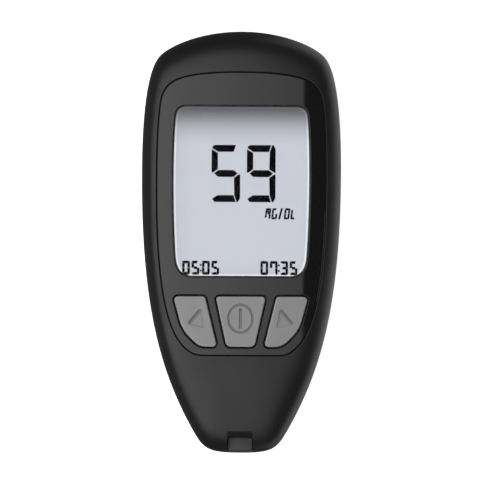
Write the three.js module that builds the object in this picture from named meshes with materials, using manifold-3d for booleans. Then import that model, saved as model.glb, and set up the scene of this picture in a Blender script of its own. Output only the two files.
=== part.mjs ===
// Blood glucose meter, lying on its back. Millimetres: +X to the right, +Y towards the display end and +Z out of the
// display, with the origin in the middle of the flat underside. The case is two egg-shaped shells that meet on a level
// seam. A glossy fascia with the display window and three rubber keys lies in the front one, and the coin cell's door
// slides out of the back one.
import * as THREE from "three";
import { mergeVertices } from "three/addons/utils/BufferGeometryUtils.js";
import Module from "manifold-3d";

const wasm = await Module();
wasm.setup();

// Case: overall size, seam and walls
const caseLength = 100;
const caseWidth = 47.3;
const restToSeam = 7.6;
const frontHeight = 9.4;
const frontPeakY = 12;
const sideCrown = 1;
const rearTrim = 0.8;
const wall = 1.8;
const seamGap = 0.3;
const lipHeight = 1;
const lipThickness = 0.8;
const lipGap = 0.2;
const frontDropShare = 0.08;
const noseDropShare = 0.38;
const rearLiftShare = 0.34;
const rearLiftStartShare = -0.4;
const frontEdgePower = 16;
const frontEdgeRoundness = 2.2;
const rearEdgePower = 10;
const rearEdgeRoundness = 2;

// Gaps between neighbouring pieces, and how far a cutting solid runs past what it cuts
const seatGap = 0.1;
const fitGap = 0.3;
const overrun = 2;

// Half of each outline from its top to its foot: end points of cubic curves with their two handles between them
const caseOutlineShares = [
  [0, 1], [0.403, 1], [0.713, 0.935], [0.821, 0.885], [0.997, 0.803], [1, 0.447], [1, 0.322],
  [1, -0.278], [0.82, -0.6], [0.492, -0.879], [0.373, -0.981], [0.339, -1], [0, -1],
];
const panelOutlineShares = [
  [0, 1], [0.5, 1], [0.7, 0.969], [0.8, 0.936], [0.895, 0.904], [0.945, 0.852], [0.96, 0.78], [0.993, 0.637],
  [1, 0.457], [1, 0.218], [1, -0.23], [0.955, -0.709], [0.725, -0.9], [0.625, -0.98], [0.55, -1], [0.43, -1],
];
const windowOutlineShares = [
  [0.791, 1], [0.914, 1], [0.957, 0.951], [0.969, 0.867], [1.009, 0.591], [1.012, -0.199], [0.966, -0.751],
  [0.951, -0.919], [0.871, -1], [0.712, -1],
];

// Front, from the nose to the display end: bare nose, fascia with its keys and window, bare end
const noseLength = 23.25;
const keyRowMargin = 1.9;
const keyHeight = 11.9;
const keyWindowGap = 4.7;
const windowTopMargin = 7.85;
const bareEndLength = 9.85;
const rimWidth = 3.65;
const windowSideMargin = 3.7;
const fasciaThickness = 1.2;
const ledgeThickness = 1;
const ledgeOverhang = 1.6;

// Display lens and the display behind it
const lensGap = 0.15;
const lensFlangeWidth = 1.2;
const lensFlangeThickness = 0.5;
const glassMargin = 1.2;
const glassThickness = 0.7;
const contactLedge = 3.5;
const gasketThickness = 0.3;
const gasketWidth = 1.2;
const lightGuideThickness = 1;
const displayFrameWall = 0.9;
const displayFrameGrip = 0.5;
const zebraWidth = 2.2;

// Keys: corners as shares of the fascia's half width and of the key height, with the rubber mat under them
const sideKeyCornerShares = [[0.4225, 0], [0.7975, 0], [0.6875, 0.676], [0.485, 1], [0.2775, 1]];
const keyCornerRadius = 0.8;
const keyOuterRadius = 0.9;
const keyFlankRadius = 9;
const keyFootRadius = 4;
const sideKeyRadii = [keyCornerRadius, keyOuterRadius, keyFlankRadius, keyFootRadius, keyCornerRadius];
const middleKeyCornerShares = [[-0.296, 0], [0.296, 0], [0.165, 1], [-0.165, 1]];
const middleKeyTopRadius = 0.7;
const middleKeyFootRadius = 1.3;
const middleKeyRadii = [middleKeyTopRadius, middleKeyTopRadius, middleKeyFootRadius, middleKeyFootRadius];
const keyGap = 0.3;
const keyProud = 0.5;
const keyTravel = 0.9;
const keyStopGap = 0.15;
const keyStepInset = 1;
const keyStepHeight = 1.5;
const keySkirtReach = 0.8;
const keySkirtThickness = 0.35;
const keySkirtRise = 0.7;
const pillRadius = 2;
const pillThickness = 0.4;
const matThickness = 0.8;
const matInset = 0.6;
const symbolDepth = 0.2;
const symbolStroke = 0.45;
const powerRingRadiusX = 2.8;
const powerRingRadiusY = 3.2;
const powerBarLength = 4.4;
const symbolCentreShare = 0.45;
const arrowShares = [[0.615, 0.541], [0.48, 0.264], [0.437, 0.617]];
const arrowRadius = 0.3;

// Coin cell, its pocket in the rear shell and its door
const cellRadius = 10;
const cellThickness = 3.2;
const cellCapRadius = 8.9;
const cellCapHeight = 0.35;
const cellSetback = 23;
const contactRoom = 1;
const pocketRoof = 1;
const pocketWall = 2.2;
const doorWidth = 25;
const doorNoseMargin = 2.2;
const doorThickness = 1.4;
const doorEndHeight = 5;
const doorSink = 0.1;
const doorTravel = 6;
const railWidth = 1.2;
const railThickness = 0.8;
const hookLength = 3;
const hookReach = 1;
const hookThickness = 0.7;
const hookPlaceShares = [-0.75, 0.4];
const gripRidgeCount = 5;
const gripPitch = 1.5;
const gripGroove = 0.75;
const gripWidth = 10;
const gripDepth = 0.4;
const contactSheet = 0.2;
const minusWidth = 4;
const plusWidth = 5;

// Circuit board, and what is soldered to its underside. The posts that carry it stand at shares of the case's half
// width and half length, and its parts at shares of the half width and of the room from the cell pocket to the board's
// nose end.
const boardThickness = 1.2;
const boardEdgeGap = 0.8;
const boardNoseSetback = 9;
const postRadius = 1.3;
const postPlaceShares = [[0.62, -0.1], [0.42, -0.5]];
const processorSide = 10;
const processorHeight = 1.4;
const chipLongSide = 5;
const chipShortSide = 4;
const chipHeight = 1.2;
const capacitorWidth = 2.8;
const capacitorLength = 3.5;
const capacitorHeight = 1.9;
const thermistorWidth = 2;
const thermistorLength = 1.3;
const thermistorHeight = 0.8;
const processorPlaceShares = [0, 0.287];
const memoryPlaceShares = [-0.38, 0.512];
const analogPlaceShares = [0, 0.681];
const capacitorPlaceShares = [0.5, 0.137];
const thermistorPlaceShares = [0.2, 0.887];
const crystalPlaceShares = [0.38, 0.493];
const crystalRadius = 1;
const crystalLength = 6;

// Test strip port in the nose, and the notch over it
const stripSlotWidth = 6.1;
const stripSlotHeight = 1.2;
const tonguePlay = 0.1;
const portWidth = 9;
const portLength = 10;
const portSetback = 7.7;
const portRoof = 0.6;
const portBackWall = 1.5;
const portTongueThickness = 0.9;
const portTongueInset = 0.2;
const notchSetback = 3.6;
const browRun = 1.4;
const stripContactCount = 4;
const stripContactPitch = 1.27;
const stripContactWidth = 0.45;
const stripContactSlot = 0.75;

// Case screws, two at the display end and two at the nose
const screwRadius = 1.1;
const screwHeadRadius = 2.1;
const screwHeadHeight = 1.3;
const screwLength = 8;
const screwGap = 0.15;
const screwCrossWidth = 0.6;
const screwCrossDepth = 0.8;
const screwCrossShare = 0.75;
const bossRadius = 2.4;
const counterboreFloor = 2.9;
const topScrewSideShare = 0.314;
const topScrewEndShare = 0.826;
const noseScrewShares = [0.393, -0.71];

// Blank label in its recess on the back
const labelWidth = 22;
const labelLength = 24;
const labelPlaceShare = 0.45;
const labelRadius = 3;
const labelThickness = 0.15;
const labelSink = 0.3;

// How finely round shapes are divided
const outlineSteps = 6;
const panelSteps = 3;
const windowSteps = 3;
const cornerSteps = 3;
const edgeRings = 5;
const hollowRings = 3;
const innerRingShares = [0.7, 0.35];
const roundSides = 32;
const ellipseSides = 20;
const smallRoundSides = 16;
const boreSides = 12;

const half = (value) => value / 2;
const halfLength = half(caseLength);
const halfWidth = half(caseWidth);
const frontBase = restToSeam + half(seamGap);
const rearTop = restToSeam - half(seamGap);
const lipTop = rearTop + lipHeight;
const ceiling = frontBase + frontHeight + overrun;
const panelWidth = caseWidth - 2 * rimWidth;
const panelBottom = noseLength - halfLength;
const keyRowTop = panelBottom + keyRowMargin + keyHeight;
const windowWidth = panelWidth - 2 * windowSideMargin;
const windowBottom = keyRowTop + keyWindowGap;
const panelTop = halfLength - bareEndLength;
const windowTop = panelTop - windowTopMargin;
const windowHeight = windowTop - windowBottom;
const cellY = halfLength - cellSetback;

// Outlines are lists of [x, y], counter-clockwise.
function cubicPoint(a, b, c, d, t) {
  const s = 1 - t;
  return [0, 1].map((k) => s * s * s * a[k] + 3 * s * s * t * b[k] + 3 * s * t * t * c[k] + t * t * t * d[k]);
}

function closedOutline(halfShares, steps, halfX, middleY, halfY) {
  const right = [halfShares[0]];
  for (let i = 0; i + 3 < halfShares.length; i += 3) {
    for (let k = 1; k <= steps; k++) right.push(cubicPoint(...halfShares.slice(i, i + 4), k / steps));
  }
  const left = right.filter(([x]) => x > 0).map(([x, y]) => [-x, y]);
  return [...right.reverse(), ...left].map(([x, y]) => [x * halfX, middleY + y * halfY]);
}

// A polygon with each corner rounded by an arc.
function roundedPolygon(corners, radii) {
  const points = [];
  corners.forEach(([x, y], i) => {
    const corner = new THREE.Vector2(x, y);
    const before = new THREE.Vector2(...corners.at(i - 1)).sub(corner).normalize();
    const after = new THREE.Vector2(...corners[(i + 1) % corners.length]).sub(corner).normalize();
    const halfAngle = half(Math.acos(before.dot(after)));
    const middle = before.clone().add(after).normalize().multiplyScalar(radii[i] / Math.sin(halfAngle)).add(corner);
    const toStart = before.multiplyScalar(radii[i] / Math.tan(halfAngle)).add(corner).sub(middle);
    const turn = Math.PI - 2 * halfAngle;
    const side = Math.sign(toStart.cross(corner.clone().sub(middle)));
    for (let k = 0; k <= cornerSteps; k++) {
      const p = toStart.clone().rotateAround(new THREE.Vector2(), (side * turn * k) / cornerSteps).add(middle);
      points.push([p.x, p.y]);
    }
  });
  return THREE.ShapeUtils.area(points.map(([x, y]) => new THREE.Vector2(x, y))) < 0 ? points.reverse() : points;
}

function rectangle(x0, x1, y0, y1) {
  return [[x0, y0], [x1, y0], [x1, y1], [x0, y1]];
}

// A convex outline grown by a distance, or shrunk by a negative one: its bounding box cut by every moved edge.
function grown(points, distance) {
  const xs = points.map(([x]) => x);
  const ys = points.map(([, y]) => y);
  let result = rectangle(
    Math.min(...xs) - distance, Math.max(...xs) + distance, Math.min(...ys) - distance, Math.max(...ys) + distance,
  );
  points.forEach(([x, y], i) => {
    const [nextX, nextY] = points[(i + 1) % points.length];
    const length = Math.hypot(nextX - x, nextY - y);
    const inward = [(y - nextY) / length, (nextX - x) / length];
    const depth = ([px, py]) => (px - x) * inward[0] + (py - y) * inward[1] + distance;
    result = result.flatMap((p, k) => {
      const q = result[(k + 1) % result.length];
      const from = depth(p);
      const to = depth(q);
      const crossing = () => p.map((value, axis) => value + ((q[axis] - value) * from) / (from - to));
      if (from >= 0) return to >= 0 ? [p] : [p, crossing()];
      return to > 0 ? [crossing()] : [];
    });
  });
  const shortest = half(seatGap) / roundSides;
  return result.filter(([x, y], i) => {
    const [lastX, lastY] = result.at(i - 1);
    return Math.hypot(x - lastX, y - lastY) > shortest;
  });
}

// Solids
function solidOf(geometry) {
  geometry.deleteAttribute("normal");
  geometry.deleteAttribute("uv");
  const merged = mergeVertices(geometry);
  return new wasm.Manifold(
    new wasm.Mesh({
      numProp: 3,
      vertProperties: merged.attributes.position.array,
      triVerts: new Uint32Array(merged.index.array),
    }),
  );
}

function extruded(points, depth) {
  const shape = new THREE.Shape(points.map(([x, y]) => new THREE.Vector2(x, y)));
  return new THREE.ExtrudeGeometry(shape, { depth, bevelEnabled: false, curveSegments: 1 });
}

function prism(points, bottom, top) {
  return solidOf(extruded(points, top - bottom).translate(0, 0, bottom));
}

// An outline given as [y, z], standing across X.
function prismAcross(points, x0, x1) {
  const turn = new THREE.Matrix4().makeBasis(
    new THREE.Vector3(0, 1, 0), new THREE.Vector3(0, 0, 1), new THREE.Vector3(1, 0, 0),
  );
  return solidOf(extruded(points, x1 - x0).applyMatrix4(turn).translate(x0, 0, 0));
}

function block(x0, x1, y0, y1, z0, z1) {
  return prism(rectangle(x0, x1, y0, y1), z0, z1);
}

function cylinder(x, y, radius, z0, z1, sides = smallRoundSides) {
  const geometry = new THREE.CylinderGeometry(radius, radius, z1 - z0, sides).rotateX(half(Math.PI));
  return solidOf(geometry.translate(x, y, half(z0 + z1)));
}

// A profile of [radius, z] turned about the Z axis through (x, y).
function turned(profile, x, y, sides) {
  const points = profile.map(([radius, z]) => new THREE.Vector2(radius, z));
  return solidOf(new THREE.LatheGeometry(points, sides).rotateX(half(Math.PI)).translate(x, y, 0));
}

// A skin over rings of equal count, the lowest first, closed by a fan to the middle of the first and of the last.
function lofted(rings, footCentre, topCentre, turnedOver = false) {
  const count = rings[0].length;
  const footIndex = rings.length * count;
  const topIndex = footIndex + 1;
  const last = footIndex - count;
  const faces = [];
  for (let i = 0; i < count; i++) {
    const j = (i + 1) % count;
    faces.push([footIndex, j, i], [last + i, last + j, topIndex]);
    for (let low = 0; low < last; low += count) {
      const high = low + count;
      faces.push([low + i, low + j, high + j], [low + i, high + j, high + i]);
    }
  }
  const geometry = new THREE.BufferGeometry();
  const positions = [...rings.flat(), footCentre, topCentre].flat();
  geometry.setAttribute("position", new THREE.Float32BufferAttribute(positions, 3));
  geometry.setIndex(faces.flatMap((face) => (turnedOver ? face.toReversed() : face)));
  return solidOf(geometry);
}

// A bent sheet-metal ribbon seen from the side: the line through its middle, thickened.
function ribbonOutline(line, thickness) {
  const sides = [1, -1].map((side) =>
    line.map(([u, v], i) => {
      const before = line[Math.max(i - 1, 0)];
      const after = line[Math.min(i + 1, line.length - 1)];
      const length = Math.hypot(after[0] - before[0], after[1] - before[1]);
      const shift = (side * half(thickness)) / length;
      return [u - (after[1] - before[1]) * shift, v + (after[0] - before[0]) * shift];
    }),
  );
  return [...sides[0], ...sides[1].reverse()];
}

const inOrder = (a, b) => [Math.min(a, b), Math.max(a, b)];
const joined = (solids) => solids.reduce((sum, solid) => sum.add(solid));
const cut = (solid, ...tools) => tools.reduce((rest, tool) => rest.subtract(tool), solid);

// Case surfaces: rings of the egg outline, drawn in towards the middle while they rise with a rounded edge.
const unitOutline = closedOutline(caseOutlineShares, outlineSteps, 1, 0, 1);
const caseOutline = (inset) => unitOutline.map(([x, y]) => [x * (halfWidth - inset), y * (halfLength - inset)]);

function edgeRingsOf(power, roundness, edgeCount) {
  const rings = [];
  for (let k = 0; k < edgeCount; k++) {
    const rise = Math.sin((half(Math.PI) * k) / edgeCount);
    rings.push({ share: (1 - rise ** roundness) ** (1 / power), rise });
  }
  const riseAt = (share) => (1 - share ** power) ** (1 / roundness);
  return [...rings, ...innerRingShares.map((share) => ({ share, rise: riseAt(share) }))];
}

function eggDome({ inset, base, foot, heightAt, rings, direction }) {
  const outline = caseOutline(inset);
  const levels = rings.map(({ share, rise }) =>
    outline.map(([x, y]) => [x * share, y * share, base + direction * rise * heightAt(x * share, y * share)]),
  );
  if (foot !== base) levels.unshift(outline.map(([x, y]) => [x, y, foot]));
  return lofted(levels, [0, 0, foot], [0, 0, base + direction * heightAt(0, 0)], direction < 0);
}

function frontHeightAt(x, y, inset) {
  const end = y > frontPeakY ? halfLength - frontPeakY : -halfLength - frontPeakY;
  const drop = (y > frontPeakY ? frontDropShare : noseDropShare) * ((y - frontPeakY) / end) ** 2;
  return frontHeight * (1 - drop) - sideCrown * (x / half(panelWidth)) ** 2 - inset;
}

function rearDepthAt(x, y, inset) {
  const liftStart = rearLiftStartShare * halfLength;
  const lift = Math.max(0, (liftStart - y) / (liftStart + halfLength)) ** 2;
  return (rearTop + rearTrim) * (1 - rearLiftShare * lift) - inset;
}

function frontDome(base, foot, inset, edgeCount) {
  const heightAt = (x, y) => frontHeightAt(x, y, inset);
  const rings = edgeRingsOf(frontEdgePower, frontEdgeRoundness, edgeCount);
  return eggDome({ inset, base, foot, heightAt, rings, direction: 1 });
}

function rearDome(foot, inset, edgeCount) {
  const heightAt = (x, y) => rearDepthAt(x, y, inset);
  const rings = edgeRingsOf(rearEdgePower, rearEdgeRoundness, edgeCount);
  const dome = eggDome({ inset, base: rearTop, foot, heightAt, rings, direction: -1 });
  return cut(dome, block(-caseWidth, caseWidth, -caseLength, caseLength, -restToSeam, inset));
}

// How far out a point lies, 0 in the middle and 1 on the case outline, and the height of the front surface there.
function shareOut(x, y) {
  const outline = caseOutline(0);
  return Math.max(
    ...outline.map(([x0, y0], i) => {
      const [x1, y1] = outline[(i + 1) % outline.length];
      return ((y1 - y0) * x - (x1 - x0) * y) / ((y1 - y0) * x0 - (x1 - x0) * y0);
    }),
  );
}

function frontSurfaceAt(x, y) {
  const rise = (1 - shareOut(x, y) ** frontEdgePower) ** (1 / frontEdgeRoundness);
  return frontBase + rise * frontHeightAt(x, y, 0);
}

const belowFront = (depth) => frontDome(frontBase - depth, frontBase - depth, 0, edgeRings);
const frontSolid = belowFront(0);
const frontHollow = frontDome(frontBase, frontBase - overrun, wall, hollowRings);
const rearSolid = rearDome(rearTop, 0, edgeRings);
const rearHollow = rearDome(rearTop + overrun, wall, hollowRings);

// Outlines of what lies in the front
const panelOutline = closedOutline(
  panelOutlineShares, panelSteps, half(panelWidth), half(panelTop + panelBottom), half(panelTop - panelBottom),
);
const windowOutline = closedOutline(
  windowOutlineShares, windowSteps, half(windowWidth), half(windowTop + windowBottom), half(windowHeight),
);
const keyPoint = ([x, y], side = 1) => [side * x * half(panelWidth), keyRowTop - y * keyHeight];
const keys = [
  { name: "left", side: -1, corners: sideKeyCornerShares, radii: sideKeyRadii },
  { name: "power", side: 1, corners: middleKeyCornerShares, radii: middleKeyRadii },
  { name: "right", side: 1, corners: sideKeyCornerShares, radii: sideKeyRadii },
].map((key) => ({ ...key, outline: roundedPolygon(key.corners.map((p) => keyPoint(p, key.side)), key.radii) }));

// Places of the case screws: those at the display end stand beside the doorway.
const casePoint = ([x, y], side = 1) => [side * x * halfWidth, y * halfLength];
const doorHalf = half(doorWidth);
const topScrewX = doorHalf + topScrewSideShare * (halfWidth - doorHalf);
const topScrewY = topScrewEndShare * halfLength;
const [noseScrewX, noseScrewY] = casePoint(noseScrewShares);
const screws = [
  { name: "case_screw_top_left", place: [-topScrewX, topScrewY] },
  { name: "case_screw_top_right", place: [topScrewX, topScrewY] },
  { name: "case_screw_nose_left", place: [-noseScrewX, noseScrewY] },
  { name: "case_screw_nose_right", place: [noseScrewX, noseScrewY] },
];

// Levels worked up from the cell door
const cellBottom = doorThickness + fitGap;
const cellTop = cellBottom + cellThickness;
const roofUnderside = cellTop + contactRoom;
const roofTop = roofUnderside + pocketRoof;
const boardBottom = roofTop + seatGap;
const boardTop = boardBottom + boardThickness;

// Levels of the display, worked down from the lowest point of the fascia over its glass
const glassSide = half(windowWidth) + glassMargin;
const glassBottomY = windowBottom - glassMargin;
const rearGlassTopY = windowTop + glassMargin;
const frontGlassTopY = rearGlassTopY + contactLedge;
const ledgeDepth = fasciaThickness + seatGap;
const ledgeUnderside = ledgeDepth + ledgeThickness;
const lowestOverGlass = Math.min(
  frontSurfaceAt(glassSide, frontGlassTopY), frontSurfaceAt(glassSide, glassBottomY),
);
const glassTop = lowestOverGlass - ledgeUnderside - gasketThickness;
const glassJoint = glassTop - glassThickness;
const glassUnderside = glassJoint - glassThickness;
const guideTop = glassUnderside - seatGap;
const guideBottom = guideTop - lightGuideThickness;
const zebraMiddleY = half(rearGlassTopY + frontGlassTopY) + seatGap;

// Levels of the keys
const pillBottom = boardTop + keyTravel + keyStopGap;
const keyBottom = pillBottom + pillThickness + seatGap;
const matBottom = boardTop + seatGap;
const matTop = matBottom + matThickness;
const skirtSpread = keySkirtReach + seatGap;

// Levels and places of the strip port
const portTongueBottom = lipTop + lipGap;
const stripFloor = portTongueBottom + portTongueThickness;
const stripRoof = stripFloor + stripSlotHeight;
const portBottom = boardTop + seatGap;
const portTop = stripRoof + portRoof;
const portNoseY = portSetback - halfLength;
const portBackY = portNoseY + portLength;
const notchRoofY = notchSetback - halfLength;
const notchTopY = notchRoofY + browRun;
const slotSide = half(stripSlotWidth);

// Finishes
const finish = (color, roughness, metalness = 0, extra = {}) =>
  new THREE.MeshStandardMaterial({ color, roughness, metalness, ...extra });
const satinBlack = finish(0x1c1d1d, 0.5);
const glossGrey = finish(0x262626, 0.12);
const clear = finish(0xe8edf0, 0.05, 0, { transparent: true, opacity: 0.3 });
const displayGlass = finish(0xc9cdd4, 0.1);
const whitePlastic = finish(0xe9ebe8, 0.5);
const paleRubber = finish(0x8f8f8f, 0.75);
const blackFoam = finish(0x1a1a1a, 0.95);
const carbon = finish(0x202020, 0.8);
const greenBoard = finish(0x1d5b3a, 0.45);
const chipBlack = finish(0x17181a, 0.55);
const steel = finish(0xb9bcbf, 0.3, 1);
const gold = finish(0xd4ab52, 0.3, 1);
const nickel = finish(0xc4c3bd, 0.35, 1);
const portPlastic = finish(0x3d3e3e, 0.55);
const labelFilm = finish(0xb4b6b7, 0.4);

const meter = new THREE.Group();

function addPiece(name, solid, material) {
  const { numProp, numVert, triVerts, vertProperties } = solid.getMesh();
  const positions = new Float32Array(numVert * 3);
  for (let i = 0; i < numVert; i++) positions.set(vertProperties.subarray(i * numProp, i * numProp + 3), i * 3);
  const geometry = new THREE.BufferGeometry();
  geometry.setAttribute("position", new THREE.BufferAttribute(positions, 3));
  geometry.setIndex(new THREE.BufferAttribute(triVerts, 1));
  geometry.computeVertexNormals();
  const mesh = new THREE.Mesh(geometry, material);
  mesh.name = name;
  meter.add(mesh);
}

// Front shell: a deep cup with a ledge for the fascia, four screw bosses and the strip notch in its nose
function frontShell() {
  const ledge = cut(
    prism(grown(panelOutline, ledgeOverhang), frontBase, ceiling).intersect(belowFront(half(ledgeDepth))),
    belowFront(ledgeUnderside),
  );
  const bosses = screws.map(({ place }) =>
    cylinder(...place, bossRadius, frontBase + seatGap, ceiling).intersect(belowFront(half(wall))),
  );
  const pilotTop = counterboreFloor + screwLength + fitGap;
  const pilots = screws.map(({ place }) => cylinder(...place, screwRadius + screwGap, -overrun, pilotTop, boreSides));
  const recess = cut(prism(grown(panelOutline, fitGap), frontBase, ceiling), belowFront(ledgeDepth));
  const keyHoles = keys.map(({ outline }) => prism(grown(outline, keyGap + lensGap), frontBase, ceiling));
  const lipRebate = prism(caseOutline(wall - lipThickness - lipGap), -overrun, lipTop + lipGap);
  const shell = joined([cut(frontSolid, frontHollow), ledge, ...bosses]);
  return cut(
    shell, recess, prism(windowOutline, frontBase, ceiling), ...keyHoles, ...pilots, lipRebate, stripNotch(),
  );
}

// The notch lets a finger guide the strip: open above its tongue, with a slanted brow over the slot.
function stripNotch() {
  const noseEnd = -halfLength - overrun;
  const browSlope = (notchTopY - notchRoofY) / (frontSurfaceAt(0, notchTopY) - stripRoof);
  const brow = [
    [noseEnd, stripRoof], [notchRoofY, stripRoof], [notchRoofY + browSlope * (ceiling - stripRoof), ceiling],
    [noseEnd, ceiling],
  ];
  return joined([
    prismAcross(brow, -slotSide, slotSide),
    block(-slotSide, slotSide, noseEnd, portNoseY, portTongueBottom - lipGap, stripRoof),
  ]);
}

// Fascia: one glossy moulding over the display end, pierced for the window and the three keys
function fascia() {
  const plate = cut(prism(panelOutline, frontBase, ceiling).intersect(frontSolid), belowFront(fasciaThickness));
  const flangeSeat = prism(grown(windowOutline, lensFlangeWidth + lensGap), frontBase, ceiling).intersect(
    belowFront(fasciaThickness - lensFlangeThickness - seatGap),
  );
  const keyHoles = keys.map(({ outline }) => prism(grown(outline, keyGap), frontBase, ceiling));
  return cut(plate, prism(windowOutline, frontBase, ceiling), flangeSeat, ...keyHoles);
}

// Display lens: a clear plug that fills the window, with a flange held under the fascia
function displayLens() {
  const plug = prism(grown(windowOutline, -lensGap), frontBase, ceiling).intersect(belowFront(seatGap));
  const flange = prism(grown(windowOutline, lensFlangeWidth), frontBase, ceiling).intersect(
    belowFront(fasciaThickness - lensFlangeThickness),
  );
  return cut(joined([plug, flange]), belowFront(fasciaThickness));
}

addPiece("front_shell", frontShell(), satinBlack);
addPiece("fascia", fascia(), glossGrey);
addPiece("display_lens", displayLens(), clear);

// Display: two sheets of glass, sealed to the ledge by a foam frame and lit by a light guide in a white frame
function displayGasket() {
  const bottom = glassTop + half(seatGap);
  const foam = prism(grown(windowOutline, gasketWidth), bottom, ceiling).intersect(
    belowFront(ledgeUnderside + seatGap),
  );
  return cut(foam, prism(grown(windowOutline, seatGap), frontBase, ceiling));
}

function displayFrame() {
  const outer = fitGap + displayFrameWall;
  const slotHalf = half(zebraWidth) + seatGap;
  const aroundGlass = (margin, topY, bottom, top) =>
    block(-glassSide - margin, glassSide + margin, glassBottomY - margin, topY + margin, bottom, top);
  const body = aroundGlass(outer, frontGlassTopY, boardTop + seatGap, glassJoint - displayFrameGrip);
  const glassSeat = aroundGlass(fitGap, frontGlassTopY, glassUnderside - seatGap, ceiling);
  const guideSeat = aroundGlass(fitGap - displayFrameWall, rearGlassTopY, guideBottom - seatGap, ceiling);
  const underRoom = aroundGlass(-2 * displayFrameWall, rearGlassTopY, -overrun, ceiling);
  const zebraSlot = block(
    -glassSide + displayFrameWall - fitGap, glassSide - displayFrameWall + fitGap,
    zebraMiddleY - slotHalf, zebraMiddleY + slotHalf, -overrun, ceiling,
  );
  return cut(body, glassSeat, guideSeat, underRoom, zebraSlot);
}

const guideSide = glassSide - displayFrameWall;
const frontGlass = block(-glassSide, glassSide, glassBottomY, frontGlassTopY, glassJoint, glassTop);
const rearGlass = block(
  -glassSide, glassSide, glassBottomY, rearGlassTopY, glassUnderside, glassJoint - half(seatGap),
);
const lightGuide = block(
  -guideSide, guideSide, glassBottomY + displayFrameWall, rearGlassTopY - displayFrameWall, guideBottom, guideTop,
);
const zebra = block(
  -guideSide, guideSide, zebraMiddleY - half(zebraWidth), zebraMiddleY + half(zebraWidth),
  boardTop + half(seatGap), glassJoint - half(seatGap),
);
addPiece("display_gasket", displayGasket(), blackFoam);
addPiece("display_front_glass", frontGlass, displayGlass);
addPiece("display_rear_glass", rearGlass, displayGlass);
addPiece("light_guide", lightGuide, clear);
addPiece("display_frame", displayFrame(), whitePlastic);
addPiece("zebra_connector", zebra, paleRubber);

// Keys: rubber blocks that stand through the fascia, each with a carbon pill that bridges pads on the board
function ellipse(x, y, radiusX, radiusY) {
  return Array.from({ length: ellipseSides }, (_, i) => {
    const angle = (2 * Math.PI * i) / ellipseSides;
    return [x + radiusX * Math.cos(angle), y + radiusY * Math.sin(angle)];
  });
}

function keySymbol({ name, side }) {
  const engraved = (outline) => cut(prism(outline, frontBase, ceiling), belowFront(symbolDepth - keyProud));
  if (name !== "power") {
    return engraved(roundedPolygon(arrowShares.map((p) => keyPoint(p, side)), arrowShares.map(() => arrowRadius)));
  }
  const middle = keyRowTop - symbolCentreShare * keyHeight;
  const stroke = half(symbolStroke);
  const ring = cut(
    engraved(ellipse(0, middle, powerRingRadiusX + stroke, powerRingRadiusY + stroke)),
    prism(ellipse(0, middle, powerRingRadiusX - stroke, powerRingRadiusY - stroke), frontBase, ceiling + overrun),
  );
  const barHalf = half(powerBarLength);
  return ring.add(engraved(rectangle(-stroke, stroke, middle - barHalf, middle + barHalf)));
}

const keyStem = ({ outline }) => grown(outline, -keyStepInset);

function keyBlock(key) {
  const step = keyBottom + keyStepHeight;
  const top = prism(key.outline, step, ceiling).intersect(belowFront(-keyProud));
  return cut(top.add(prism(keyStem(key), keyBottom, step + seatGap)), keySymbol(key));
}

function outlineCentre(outline) {
  return [0, 1].map((axis) => {
    const values = outline.map((p) => p[axis]);
    return half(Math.min(...values) + Math.max(...values));
  });
}

// An outline spread by one distance at its foot and another at its top, each point along its own mitre
function flared(outline, footSpread, topSpread, bottom, top) {
  const spread = (distance, z) =>
    outline.map(([x, y], i) => {
      const [lastX, lastY] = outline.at(i - 1);
      const [nextX, nextY] = outline[(i + 1) % outline.length];
      const lastNormal = new THREE.Vector2(y - lastY, lastX - x).normalize();
      const nextNormal = new THREE.Vector2(nextY - y, x - nextX).normalize();
      const mitre = lastNormal.add(nextNormal);
      mitre.multiplyScalar((2 * distance) / mitre.lengthSq());
      return [x + mitre.x, y + mitre.y, z];
    });
  const centre = outlineCentre(outline);
  return lofted([spread(footSpread, bottom), spread(topSpread, top)], [...centre, bottom], [...centre, top]);
}

// The thin skirt between a key and the mat: it buckles as the key goes down.
function keySkirt(key) {
  const stem = keyStem(key);
  const top = keyBottom + keySkirtRise;
  const outside = flared(stem, skirtSpread, seatGap + keySkirtThickness, matBottom, top);
  const inside = flared(
    stem, skirtSpread - keySkirtThickness, seatGap, matBottom - keySkirtThickness, top - keySkirtThickness,
  );
  return cut(outside, inside, prism(grown(stem, seatGap), -overrun, ceiling));
}

function keypadMat() {
  const topEdge = glassBottomY - fitGap - displayFrameWall - fitGap;
  const sheet = prism(grown(panelOutline, -matInset), matBottom, matTop).intersect(
    block(-halfWidth, halfWidth, -halfLength, topEdge, matBottom - overrun, matTop + overrun),
  );
  const holes = keys.map((key) => prism(grown(keyStem(key), skirtSpread + fitGap), -overrun, ceiling));
  return cut(sheet, ...holes);
}

keys.forEach((key) => {
  const pill = cylinder(...outlineCentre(keyStem(key)), pillRadius, pillBottom, pillBottom + pillThickness);
  addPiece(`${key.name}_key`, keyBlock(key), paleRubber);
  addPiece(`${key.name}_key_skirt`, keySkirt(key), paleRubber);
  addPiece(`${key.name}_key_pill`, pill, carbon);
});
addPiece("keypad_mat", keypadMat(), paleRubber);

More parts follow.
